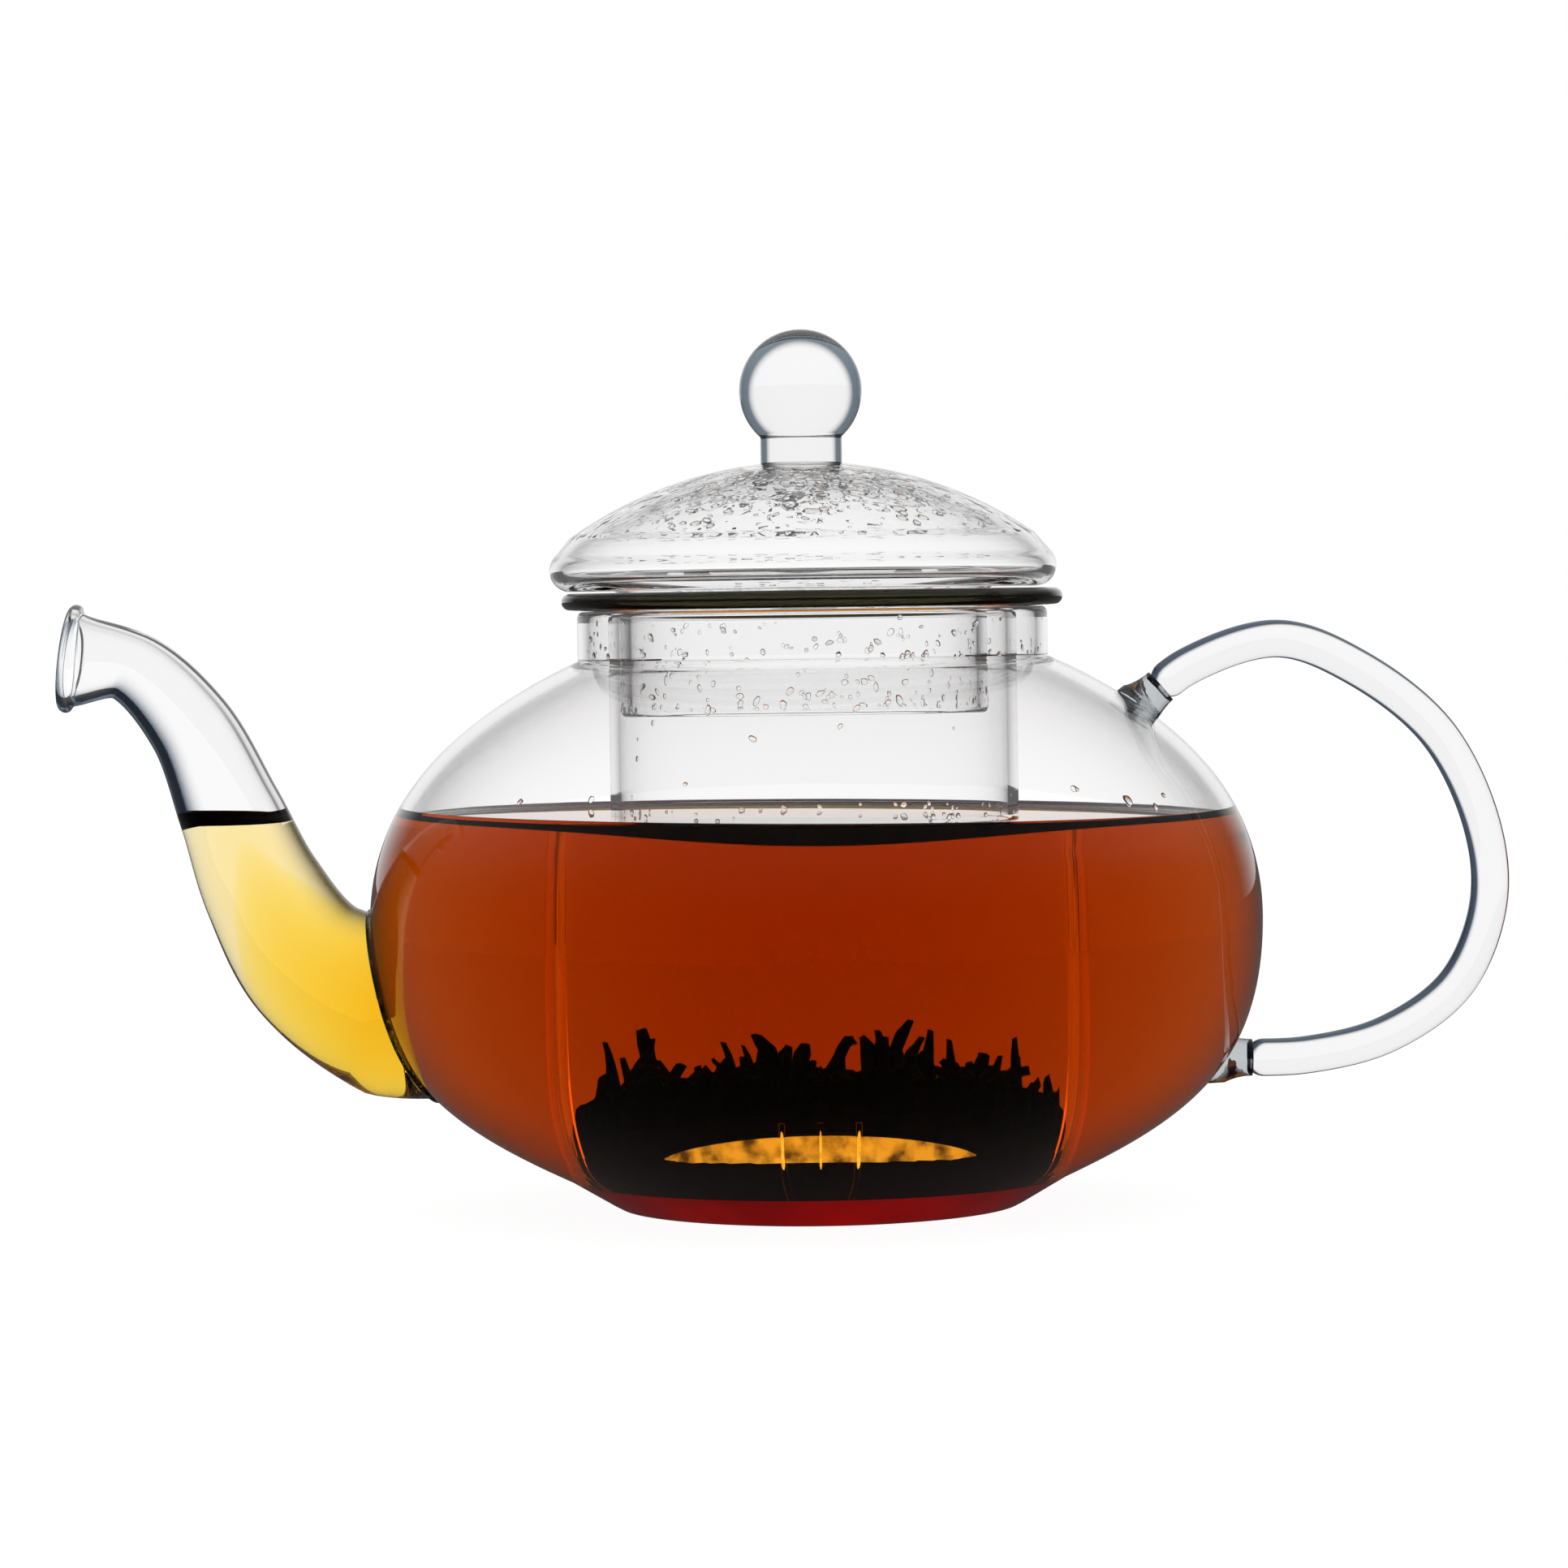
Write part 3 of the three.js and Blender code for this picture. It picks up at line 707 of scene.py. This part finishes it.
# painted shade: a dark band where the tea meets the glass, deepest at the front and back, standing in for the
# dark that the underside of the tea's surface mirrors
def makeMeniscus():
    lineTop, thin, extra, thick = 0.0004, 0.0002, 0.0022, 0.0008
    start, tall, steps = 0.05, 0.01, 10     # a plain ring first, which is then laid against the wall
    inset = pot["wall"] * 0.75
    profile = [(start - inset, tall * i / steps) for i in range(steps + 1)]
    profile += [(start - inset - thick, tall * (1 - i / steps)) for i in range(steps + 1)]
    piece = revolve("meniscus", profile, pot["segments"], material=teaLineShade)
    for vertex in piece.data.vertices:
        x, y, z = vertex.co
        r = math.hypot(x, y)
        deep = thin + extra * abs(y / r) ** 9
        height = tea["level"] + tea["slope"] * x + lineTop - (1 - z / tall) * (deep + lineTop)
        reach = radiusAt(height) + r - start
        vertex.co = (x / r * reach, y / r * reach, height)
    return piece


# the same painted dark band inside the spout
def makeSpoutMeniscus():
    best = min((abs(spoutAt(i / 200).z - spoutLevel), i / 200) for i in range(60, 160))[1]
    along = spoutAlong(best)
    radius = spoutRadius(best) - spout["wall"] * 0.6
    rings = [(spoutAt(best) + along * d, acrossOf(along), radius) for d in (-0.01, 0.01)]
    ring = sweep("spoutMeniscus", rings, 96, material=teaLineShade)
    size = 0.03
    x = spoutAt(best).x
    slab = makeBox("slab", (x - size, -size, spoutLevel - 0.0017), (x + size, size, spoutLevel + 0.0003))
    return cut(ring, slab, "INTERSECT")


# the deeper gold where the spout opens into the bowl
def makeRootTea():
    def size(t):
        left = min(1, max(0.0, (spout["goldEnd"] - t) / (spout["goldEnd"] - spout["rootAt"])))
        return max(0.0003, (spoutRadius(t) - spout["wall"] * 0.75) * math.sin(left * math.pi / 2) ** 0.8)
    piece = sweep("rootTea", spoutRings(0.05, spout["goldEnd"], 80, size), 72, material=rootLiquid)
    return cut(piece, bowlBlock(-0.0012))


teaPiece = makeTea()
spoutTeaPiece = makeSpoutTea()
meniscusPiece = makeMeniscus()
spoutMeniscusPiece = makeSpoutMeniscus()
rootTeaPiece = makeRootTea()
print("tea made")


# handle

handle = {
    "reach": 0.0399, "rod": 0.0033, "top": 0.0866, "bottom": 0.0246, "rise": 0.0112,
    "weld": 0.0044, "weldLength": 0.005,
    "crestAt": 0.4,                 # share of the way out from the upper end to the farthest place
    "riseShoulder": (0.36, 0.6),    # a place between the upper end and the crest: shares out and up
}


def handlePlace(out, up):
    rise = handle["top"] - handle["bottom"]
    return (pot["radius"] + out * handle["reach"], 0, handle["bottom"] + up * rise)


topEnd = Vector((radiusAt(handle["top"]), 0, handle["top"]))
bottomEnd = Vector((radiusAt(handle["bottom"]), 0, handle["bottom"]))
crestOut = topEnd.x + handle["crestAt"] * (pot["radius"] + handle["reach"] - topEnd.x)
crest = Vector((crestOut, 0, handle["top"] + handle["rise"]))
second = topEnd.lerp(crest, handle["riseShoulder"][0])
second.z = handle["top"] + handle["riseShoulder"][1] * handle["rise"]
handleAt, handleAlong, handleLength = catmull([
    topEnd, second, crest, handlePlace(0.42, 1.1), handlePlace(0.78, 0.91), handlePlace(0.975, 0.64),
    handlePlace(0.995, 0.42), handlePlace(0.85, 0.2), handlePlace(0.55, 0.062), handlePlace(0.2, 0.006),
    bottomEnd], 60)


def makeHandle():
    share = handle["weldLength"] / handleLength
    rings = []
    steps = 200
    for i in range(steps + 1):
        t = share * 0.8 + (1 - 1.6 * share) * i / steps
        end = min(i, steps - i)
        radius = handle["rod"] * (1 - 0.5 * (1 - min(end, 4) / 4) ** 2)     # tapered inside the welds
        rings.append((handleAt(t), acrossOf(handleAlong(t)), radius))
    return sweep("handle", rings, 48, material=rodGlass)


def makeWeld(name, end, inward):
    share = handle["weldLength"] / handleLength
    along = handleAlong(end)
    sunk = handleAt(end) - along * inward * 0.003
    rings = [(sunk, acrossOf(along), handle["weld"])]
    for i in range(13):
        t = end + inward * share * i / 12
        flare = (1 - i / 12) ** 2
        radius = handle["rod"] * 0.98 + (handle["weld"] - handle["rod"]) * flare
        rings.append((handleAt(t), acrossOf(handleAlong(t)), radius))
    return cut(sweep(name, rings, 48, material=weldGlass), bowlBlock(-0.0007))


handlePiece = makeHandle()
upperWeld = makeWeld("upperWeld", 0, 1)
lowerWeld = makeWeld("lowerWeld", 1, -1)
print("handle made")


# infuser: tube, bottom and flange in one profile, with slits

def infuserSide(inset, steps):
    centre = infuser["radius"] - infuser["corner"]
    low = infuser["bottom"]
    dome = []
    for i in range(12):
        r = centre * i / 12
        dome.append((r, low + inset + infuser["kick"] * (1 - (r / centre) ** 2)))
    return dome + arc(centre, low + infuser["corner"], infuser["corner"] - inset, -90, 0, steps)


def slitAngles():
    angles = []
    for group in range(infuser["slitGroups"]):
        for i in range(infuser["slitsPerGroup"]):
            place = i - (infuser["slitsPerGroup"] - 1) / 2
            turn = place * infuser["slitPitch"] / infuser["radius"]
            angles.append(2 * math.pi * group / infuser["slitGroups"] + turn)
    return angles


def makeInfuser():
    inside = infuser["radius"] - infuser["wall"]
    edge = (infuser["flangeTop"] - infuser["flangeBottom"]) / 2
    profile = infuserSide(0, 24) + [(infuser["radius"], tea["level"])]
    profile += [(infuser["radius"], infuser["flangeBottom"] - down) for down in (0.003, 0.0024, 0.002)]
    profile += [(infuser["radius"] + 0.0006, infuser["flangeBottom"] - 0.0004)]
    profile += arc(infuser["flangeRadius"] - edge, infuser["flangeBottom"] + edge, edge, -90, 90, 12)
    profile += [(inside + 0.0004, infuser["flangeTop"]), (inside, infuser["flangeTop"] - 0.0004)]
    profile += [(inside, infuser["flangeTop"] - 0.0009), (inside, tea["level"])]
    profile += reversed(infuserSide(infuser["wall"], 20))
    piece = revolve("infuser", profile)
    verts, faces = [], []
    for angle in slitAngles():
        out = spoke(angle)
        side = spoke(angle + math.pi / 2) * infuser["slitWidth"] / 2
        start = len(verts)
        for base in (out * 0.012, out * (infuser["radius"] + 0.01)):
            for s in (-1, 1):
                for z in (infuser["slitBottom"], infuser["slitTop"]):
                    verts.append(base + side * s + Vector((0, 0, z)))
        faces += [tuple(start + q for q in quad) for quad in boxFaces]
    piece = cut(piece, makeObject("slits", verts, faces))
    mesh = piece.data
    mesh.materials.clear()
    for material in (infuserGlass, wetGlass, rimGlass):
        mesh.materials.append(material)
    # the flange rim takes the glass painted near black, and glass under the tea the glass with a painted glow
    for polygon in mesh.polygons:
        r = math.hypot(polygon.center.x, polygon.center.y)
        polygon.material_index = 2 if r > infuser["flangeRadius"] - 0.0013 else 0
        if polygon.center.z < tea["level"]:
            polygon.material_index = 1
    return piece


infuserPiece = makeInfuser()


# lid: dome, rolled rim and collar in one profile

def makeLid():
    beadAt = (lid["radius"] - lid["bead"], lid["beadBottom"] + lid["bead"])
    collar, bottom = lid["collarRadius"], lid["beadBottom"]
    inside = collar - lid["collarWall"]
    half = lid["collarWall"] / 2
    low = lid["collarBottom"] + half

    def domeArc(inset):
        last = math.degrees(math.acos(beadAt[0] / lid["curve"]))
        points = arc(0, lid["domeTop"] - lid["curve"], lid["curve"] - inset, 90, last, 40)
        return [(0, points[0][1])] + points[1:]

    profile = domeArc(0) + arc(*beadAt, lid["bead"], 50, -90, 24)
    profile += [(collar + 0.001, bottom), (collar + 0.0003, bottom - 0.0003)]
    profile += [(collar, bottom - down) for down in (0.001, 0.0014)]
    profile += [(collar, low + 0.0004)] + arc(collar - half, low, half, 0, -180, 10)
    profile += [(inside, low + 0.0004), (inside, bottom + 0.0005), (inside, bottom + 0.001)]
    profile += [(inside + 0.0008, bottom + lid["wall"] - 0.0002)]
    profile += arc(*beadAt, lid["bead"] - lid["wall"], -90, 45, 14) + list(reversed(domeArc(lid["wall"])))
    return revolve("lid", profile, 192, lid["shift"], lidGlass)


def makeKnob():
    centre = lid["knobTop"] - lid["knobRadius"]
    below = math.degrees(math.acos(lid["neckRadius"] / lid["knobRadius"]))
    low = lid["domeTop"] - 0.0012
    ball = arc(0, centre, lid["knobRadius"], -below, 90, 40)
    ball[-1] = (0, ball[-1][1])
    neck = [(0, low), (lid["neckRadius"] - 0.0003, low), (lid["neckRadius"], low + 0.0003),
            (lid["neckRadius"], low + 0.0007), (lid["neckRadius"], ball[0][1] - 0.0004)]
    return revolve("knob", neck + ball, 128, lid["shift"], knobGlass)


lidPiece = makeLid()
knobPiece = makeKnob()
print("infuser and lid made")


# tea leaves

leafLook = {
    "count": 520, "tallEvery": 6, "clumps": 30, "seed": 7, "heapTop": 0.0310,
    # the pockets hold the painted glow band
    "pocketMiddle": 0.0226, "pocketRise": 0.0021, "pocketHalf": 0.0230, "pocketDepth": 0.0025,
    "glintLow": 0.0188, "glintHigh": 0.0249,    # painted glints: glowing lines in the slits
}


leafGap = 0.0006        # between the leaves and the glass
leafReach = infuser["radius"] - infuser["wall"] - leafGap


# one curled leaf: a twisted strip with a thick middle, and a hooked tip where it stands up
def leafShard(rng, centre, tall, verts, faces):
    length = rng.uniform(0.007, 0.011) if tall else rng.uniform(0.005, 0.010)
    width = rng.uniform(0.0021, 0.0036) if tall else rng.uniform(0.0018, 0.0034)
    lift = rng.uniform(1.15, 1.55) if tall else rng.uniform(-0.3, 0.4)
    heading = rng.uniform(0, 2 * math.pi)
    along = Vector((math.cos(heading) * math.cos(lift), math.sin(heading) * math.cos(lift), math.sin(lift)))
    side = along.cross(Vector((0.1, 0, 1))).normalized()
    up = side.cross(along)
    curl = rng.uniform(-0.5, 0.5)
    twist = rng.uniform(-1.2, 1.2)
    hook = rng.choice((-1, 1)) * rng.uniform(0.3, 1.4) if tall else 0
    start = len(verts)
    steps = 9
    for i in range(steps + 1):
        share = i / steps
        wide = width * math.sin(math.pi * (0.10 + 0.80 * share)) ** 0.6 * rng.uniform(0.7, 1.2)
        place = centre + along * (length * (share - 0.5)) + up * (curl * length * (share - 0.5) ** 2)
        place = place + side * (hook * length * max(0, share - 0.55) ** 2)
        turn = twist * (share - 0.5)
        across = side * math.cos(turn) + up * math.sin(turn)
        through = up * math.cos(turn) - side * math.sin(turn)
        verts += [place - across * wide / 2, place + through * (wide * 0.4), place + across * wide / 2,
                  place - through * (wide * 0.15)]
    faces += ringFaces(start, 4, steps + 1)


# a place pushed back inside the infuser's glass
def insideTube(place):
    reach = leafReach
    corner = infuser["corner"] - infuser["wall"] - leafGap
    middle = infuser["radius"] - infuser["corner"]
    height = infuser["bottom"] + infuser["corner"]
    r = math.hypot(place.x, place.y)
    z = place.z
    if z < height and r > middle:
        away = math.hypot(r - middle, z - height)
        if away > corner:
            z = height + (z - height) * corner / away
            reach = middle + (r - middle) * corner / away
    else:
        kick = infuser["kick"] * (1 - min(r / middle, 1) ** 2)
        z = max(z, infuser["bottom"] + infuser["wall"] + leafGap + kick)
    scale = min(1, reach / max(r, 1e-9))
    return Vector((place.x * scale, place.y * scale, z))


# half the height of the pocket behind the front and back slits, at a place round the heap
def pocketRise(place):
    across = leafReach * abs(place.x) / math.hypot(place.x, place.y)
    share = 1 - (across / leafLook["pocketHalf"]) ** 2
    return leafLook["pocketRise"] * math.sqrt(max(share, 0.0004))


def makeLeaves():
    rng = random.Random(leafLook["seed"])
    verts, faces = [], []
    clumps = []
    for n in range(leafLook["clumps"]):
        turn = 2 * math.pi * (n + rng.uniform(-0.4, 0.4)) / leafLook["clumps"]
        reach = leafReach * rng.uniform(0.5, 0.94)
        clumps.append((reach, turn, rng.uniform(-0.0015, 0.0012)))
    for n in range(leafLook["count"]):
        tall = n % leafLook["tallEvery"] == 0
        r = (leafReach - 0.0014) * math.sqrt(rng.random())
        a = rng.uniform(0, 2 * math.pi)
        z = leafLook["heapTop"] + rng.uniform(-0.0035, 0.0008)
        if tall:
            reach, turn, lift = rng.choice(clumps)
            r = min(reach + rng.uniform(-0.003, 0.003), leafReach - 0.002)
            a = turn + rng.uniform(-0.13, 0.13)
            z = leafLook["heapTop"] + lift + rng.uniform(-0.0025, 0.0005)
        elif n % 3 == 0:
            r = leafReach * rng.uniform(0.93, 1.0)
            z = rng.uniform(infuser["bottom"] + 0.004, leafLook["heapTop"])
        place = Vector((r * math.cos(a), r * math.sin(a), z))
        away = abs(z - leafLook["pocketMiddle"]) - pocketRise(place)
        if r < leafReach - 0.008 or away > 0.0028:      # clear of the pockets
            leafShard(rng, place, tall, verts, faces)
    return makeObject("leaves", [insideTube(v) for v in verts], faces, leafDark)


# the heap of leaves: a lumpy body that fills the bottom, with a pocket at the front and one at the back
def makeHeap():
    rng = random.Random(leafLook["seed"] + 1)
    spans = ((-0.03, 0.03), (-0.03, 0.03), (0.002, 0.005), (-0.0015, 0.0022))
    lumps = [[rng.uniform(*span) for span in spans] for n in range(110)]
    low, high = infuser["bottom"] + 0.001, leafLook["heapTop"]
    profile = [(leafReach * i / 16, low) for i in range(17)]
    profile += [(leafReach, low + (high - low) * i / 90) for i in range(1, 90)]
    profile += [(leafReach * (16 - i) / 16, high) for i in range(17)]
    piece = revolve("leafHeap", profile, 192, material=leafDark)
    for vertex in piece.data.vertices:
        place = vertex.co.copy()
        if place.z > high - 0.0001:
            for x, y, size, lift in lumps:
                away = ((place.x - x) ** 2 + (place.y - y) ** 2) / size ** 2
                if away < 4:
                    place.z += lift * math.exp(-away)
            place.z -= 0.004 * (math.hypot(place.x, place.y) / leafReach) ** 8
        elif place.xy.length > leafReach * 0.99:
            if abs(place.z - leafLook["pocketMiddle"]) < pocketRise(place):
                place.xy *= 1 - leafLook["pocketDepth"] / leafReach
        vertex.co = insideTube(place)
    return piece


# painted light: a glowing band in the pockets, standing in for light that comes up through the base and
# catches there
def makeKickGlow():
    inner = leafReach - leafLook["pocketDepth"] - 0.0015
    outer = leafReach - 0.0004
    steps = 12
    profile = [(outer, i / steps) for i in range(-steps, steps + 1)]
    profile += [(inner, i / steps) for i in range(steps, -steps - 1, -1)]
    piece = revolve("kickGlow", profile, 192, material=kickGlow)
    for vertex in piece.data.vertices:
        vertex.co.z = leafLook["pocketMiddle"] + vertex.co.z * pocketRise(vertex.co)
    return piece


# painted light: glowing lines that stand in the slits before the pockets
def makeSlitGlints():
    verts, faces = [], []
    wide, deep = infuser["slitWidth"] * 0.2, infuser["wall"] * 0.3
    r = infuser["radius"] - infuser["wall"] / 2
    for angle in [a for a in slitAngles() if abs(math.sin(a)) > 0.7]:
        out, side = spoke(angle), spoke(angle + math.pi / 2)
        start = len(verts)
        low, high = leafLook["glintLow"], leafLook["glintHigh"]
        for z, share in ((low, 0.3), (low + 0.0008, 1), (high - 0.0009, 1), (high, 0.3)):
            for a, b in ((-1, -1), (1, -1), (1, 1), (-1, 1)):
                verts.append(out * (r + b * deep) + side * (a * wide * share) + Vector((0, 0, z)))
        faces += ringFaces(start, 4, 4)
    return makeObject("slitGlints", verts, faces, slitLight)


# painted light: a glowing dark red ring in the thick glass of the base and the turn of the foot, standing in
# for the red light they carry round the bottom
def makeBaseGlow():
    foot, heel = pot["footRadius"] - 0.0008, pot["footFlat"] + 0.0012
    middle, low, high = 0.006, 0.0010, 0.0026
    profile = [(middle, low), (heel, low), (foot, pot["footHeight"] + 0.0004)]
    profile += [(foot - 0.0010, pot["footHeight"] + 0.0008), (heel - 0.001, high), (middle, high)]
    return revolve("baseGlow", profile, 128, material=baseGlow)


leavesPiece = makeLeaves()
heapPiece = makeHeap()
kickGlowPiece = makeKickGlow()
slitGlintsPiece = makeSlitGlints()
baseGlowPiece = makeBaseGlow()
print("leaves made")


# water drops

dropLook = {
    "seed": 11, "lid": 520, "collar": 150, "neck": 90, "line": 60,
    "bulge": 0.42, "sunk": 0.12,        # heights over and under the glass, in radii
    "aboveTea": (   # single drops: angle, height over the tea, radius
        (-0.75, 0.0030, 0.0010), (-0.66, 0.0016, 0.0007), (-0.6, 0.0034, 0.0005), (-0.9, 0.0052, 0.0004),
        (-2.35, 0.0042, 0.0006), (0.8, 0.003, 0.0008), (2.2, 0.002, 0.0007)),
}


# a flat drop: a squashed ball, uneven round its edge, half sunk in the glass
def addDrop(rng, place, normal, radius, stretch, verts, faces):
    side = normal.cross(Vector((0.3, 0.2, 1))).normalized()
    up = normal.cross(side)
    turn = rng.uniform(0, math.pi)
    side, up = side * math.cos(turn) + up * math.sin(turn), up * math.cos(turn) - side * math.sin(turn)
    around, rows = 12, 5
    uneven = [rng.uniform(0.82, 1.15) for n in range(around)]
    start = len(verts)
    verts.append(place - normal * radius * dropLook["sunk"])
    for row in range(1, rows):
        angle = math.pi * row / rows
        for k in range(around):
            turn = 2 * math.pi * k / around
            reach = radius * math.sin(angle) * uneven[k]
            height = -math.cos(angle) * (dropLook["sunk"] if math.cos(angle) > 0 else dropLook["bulge"])
            verts.append(place + side * (reach * math.cos(turn) * stretch) + up * (reach * math.sin(turn))
                         + normal * radius * height)
    verts.append(place + normal * radius * dropLook["bulge"])
    last = len(verts) - 1
    faces += ringFaces(start + 1, around, rows - 1, "open")
    for k in range(around):
        m = (k + 1) % around
        faces.append((start, start + 1 + m, start + 1 + k))
        faces.append((last - around + k, last - around + m, last))


# condensation under the dome and low on the collar
def lidDrops():
    rng = random.Random(dropLook["seed"])
    verts, faces = [], []
    under = lid["curve"] - lid["wall"]
    centre = Vector((lid["shift"], 0, lid["domeTop"] - lid["curve"]))
    for n in range(dropLook["lid"]):
        r = rng.uniform(0.010, 0.036) if n % 3 else rng.uniform(0.013, 0.024)
        a = rng.uniform(0, 2 * math.pi)
        flat = r / under
        normal = -Vector((flat * math.cos(a), flat * math.sin(a), math.sqrt(1 - flat * flat)))
        radius = rng.uniform(0.00025, 0.00085) * (1.25 - 16 * abs(r - 0.020))
        addDrop(rng, centre - normal * under, normal, max(radius, 0.0002), rng.uniform(1, 2.1), verts, faces)
    for n in range(dropLook["collar"]):
        a = rng.uniform(0, 2 * math.pi)
        normal = spoke(a)
        z = lid["collarBottom"] + 0.001 + 0.011 * rng.random() ** 1.8
        addDrop(rng, Vector((lid["shift"], 0, z)) + normal * lid["collarRadius"], normal,
                rng.uniform(0.0002, 0.0006), rng.uniform(1, 1.9), verts, faces)
    return makeObject("lidDrops", verts, faces, waterDrop)


# drops inside the neck and just above the tea
def potDrops():
    rng = random.Random(dropLook["seed"] + 1)
    verts, faces = [], []
    for n in range(dropLook["neck"]):
        a = rng.uniform(0, 2 * math.pi)
        normal = -spoke(a)
        z = rng.uniform(pot["shoulder"], pot["neckTop"] - 0.0015)
        addDrop(rng, Vector((0, 0, z)) - normal * (pot["neckRadius"] - pot["wall"]), normal,
                rng.uniform(0.0002, 0.0006), rng.uniform(1, 1.8), verts, faces)
    for a, rise, radius in dropLook["aboveTea"]:
        height = tea["level"] + rise
        r = radiusAt(height) - pot["wall"] * 1.05
        normal = -spoke(a, 0.35).normalized()
        addDrop(rng, Vector((r * math.cos(a), r * math.sin(a), height)), normal, radius, 1.2, verts, faces)
    return makeObject("potDrops", verts, faces, waterDrop)


# beads of froth round the infuser at the tea line and a few drops on its wall
def infuserDrops():
    rng = random.Random(dropLook["seed"] + 2)
    verts, faces = [], []
    for n in range(dropLook["line"]):
        a = rng.uniform(0, 2 * math.pi)
        normal = -spoke(a)
        rise = rng.uniform(0.0002, 0.0016) if n % 4 else rng.uniform(0.002, 0.03)
        place = Vector((0, 0, tea["level"] + rise)) - normal * (infuser["radius"] - infuser["wall"])
        addDrop(rng, place, normal, rng.uniform(0.0002, 0.00055), rng.uniform(1, 1.6), verts, faces)
    return makeObject("infuserDrops", verts, faces, waterDrop)


lidDropsPiece = lidDrops()
potDropsPiece = potDrops()
infuserDropsPiece = infuserDrops()
print("drops made")


# what rides on what

rides = {
    "pot": [(bowlPiece, ["pot_bowl"], "bowl_glass"), (spoutPiece, ["spout"], "bowl_glass"),
            (seamPiece, ["spout_seam"], "fused_glass"), (handlePiece, ["handle"], "bowl_glass"),
            (upperWeld, ["handle_upper_weld"], "fused_glass"),
            (lowerWeld, ["handle_lower_weld"], "fused_glass"),
            (teaPiece, [], "brewed_tea"), (spoutTeaPiece, [], "spout_tea"), (rootTeaPiece, [], "spout_tea"),
            (meniscusPiece, [], "brewed_tea"), (spoutMeniscusPiece, [], "brewed_tea"),
            (baseGlowPiece, [], "brewed_tea"), (potDropsPiece, [], "condensation")],
    "infuser": [(infuserPiece, ["infuser_tube", "infuser_flange"], "infuser_glass"),
                (leavesPiece, [], "tea_leaves"), (heapPiece, [], "tea_leaves"),
                (kickGlowPiece, [], "brewed_tea"), (slitGlintsPiece, [], "brewed_tea"),
                (infuserDropsPiece, [], "condensation")],
    "lid": [(lidPiece, ["lid_dome", "lid_collar"], "lid_glass"), (knobPiece, ["lid_knob"], "lid_glass"),
            (lidDropsPiece, [], "condensation")],
}
for body, rows in rides.items():
    for piece, nodes, slot in rows:
        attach(piece, body)
        if nodes:
            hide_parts(*nodes)


# stage, light and camera

stage = {
    "floorSize": 6.0, "white": 0.95, "sky": 1.0,
    "mirroredFloor": 0.04, "mirroredHorizon": 0.12, "mirroredSky": 0.85, "mirroredBack": 0.9,
    "skyRise": (0.1, 0.75), "backRise": (0.72, 0.98),   # where the sky and the back of the room brighten
}


# full strength straight through, but weak for light that has been mirrored by glass on its way
def dimWhenMirrored(tree, bright, low, high=None, back=None):
    depth = addNode(tree, "LightPath").outputs["Glossy Depth"]
    mirrored = addNode(tree, "Math", {0: depth, 1: 0.5}, operation="GREATER_THAN").outputs[0]
    weak = bright * low
    if high:
        coords = addNode(tree, "TexCoord").outputs["Generated"]
        apart = addNode(tree, "SeparateXYZ", {0: coords}).outputs
        rise = smoothRange(tree, apart["Z"], *stage["skyRise"], bright * low, bright * high)
        behind = smoothRange(tree, apart["Y"], *stage["backRise"], 0, bright * back)
        weak = addNode(tree, "Math", {0: rise, 1: behind}, operation="MAXIMUM").outputs[0]
    return addNode(tree, "Mix", {"Factor": mirrored, "A": bright, "B": weak}).outputs["Result"]


def makeStage():
    s = stage["floorSize"]
    floor = makeObject("floor", [(-s, -s, 0), (s, -s, 0), (s, s, 0), (-s, s, 0)], [(0, 1, 2, 3)])
    floor.location.z = -0.0002
    material, tree, shader, out = newMaterial("floorWhite")
    feed(tree, shader, {
        "Base Color": grey(0.1), "Roughness": 1.0, "Specular IOR Level": 0.0, "Emission Color": grey(1),
        "Emission Strength": dimWhenMirrored(tree, stage["white"], stage["mirroredFloor"])})
    floor.data.materials.append(material)
    world = bpy.data.worlds.new("studio")
    bpy.context.scene.world = world
    world.use_nodes = True
    tree = world.node_tree
    feed(tree, tree.nodes["Background"], {
        "Color": grey(1), "Strength": dimWhenMirrored(tree, stage["sky"], stage["mirroredHorizon"],
                                                      stage["mirroredSky"], stage["mirroredBack"])})


makeStage()

view = {"distance": 0.905, "height": 0.105, "aimHeight": 0.0736, "aside": -0.0053, "lens": 119, "roll": 0.8}


def makeCamera():
    camera = bpy.data.cameras.new("camera")
    camera.lens = view["lens"]
    camera.sensor_width = 36
    obj = bpy.data.objects.new("camera", camera)
    bpy.context.collection.objects.link(obj)
    place = Vector((view["aside"], -view["distance"], view["height"]))
    aim = Vector((view["aside"], 0, view["aimHeight"]))
    turn = (aim - place).to_track_quat("-Z", "Y").to_matrix().to_4x4()
    roll = Matrix.Rotation(math.radians(-view["roll"]), 4, "Z")
    obj.matrix_world = Matrix.Translation(place) @ turn @ roll
    bpy.context.scene.camera = obj


makeCamera()
print("stage and camera set")

scene = bpy.context.scene
scene.view_settings.view_transform = "Standard"
scene.cycles.max_bounces = 40
scene.cycles.transmission_bounces = 40
scene.cycles.glossy_bounces = 12
scene.cycles.volume_bounces = 0
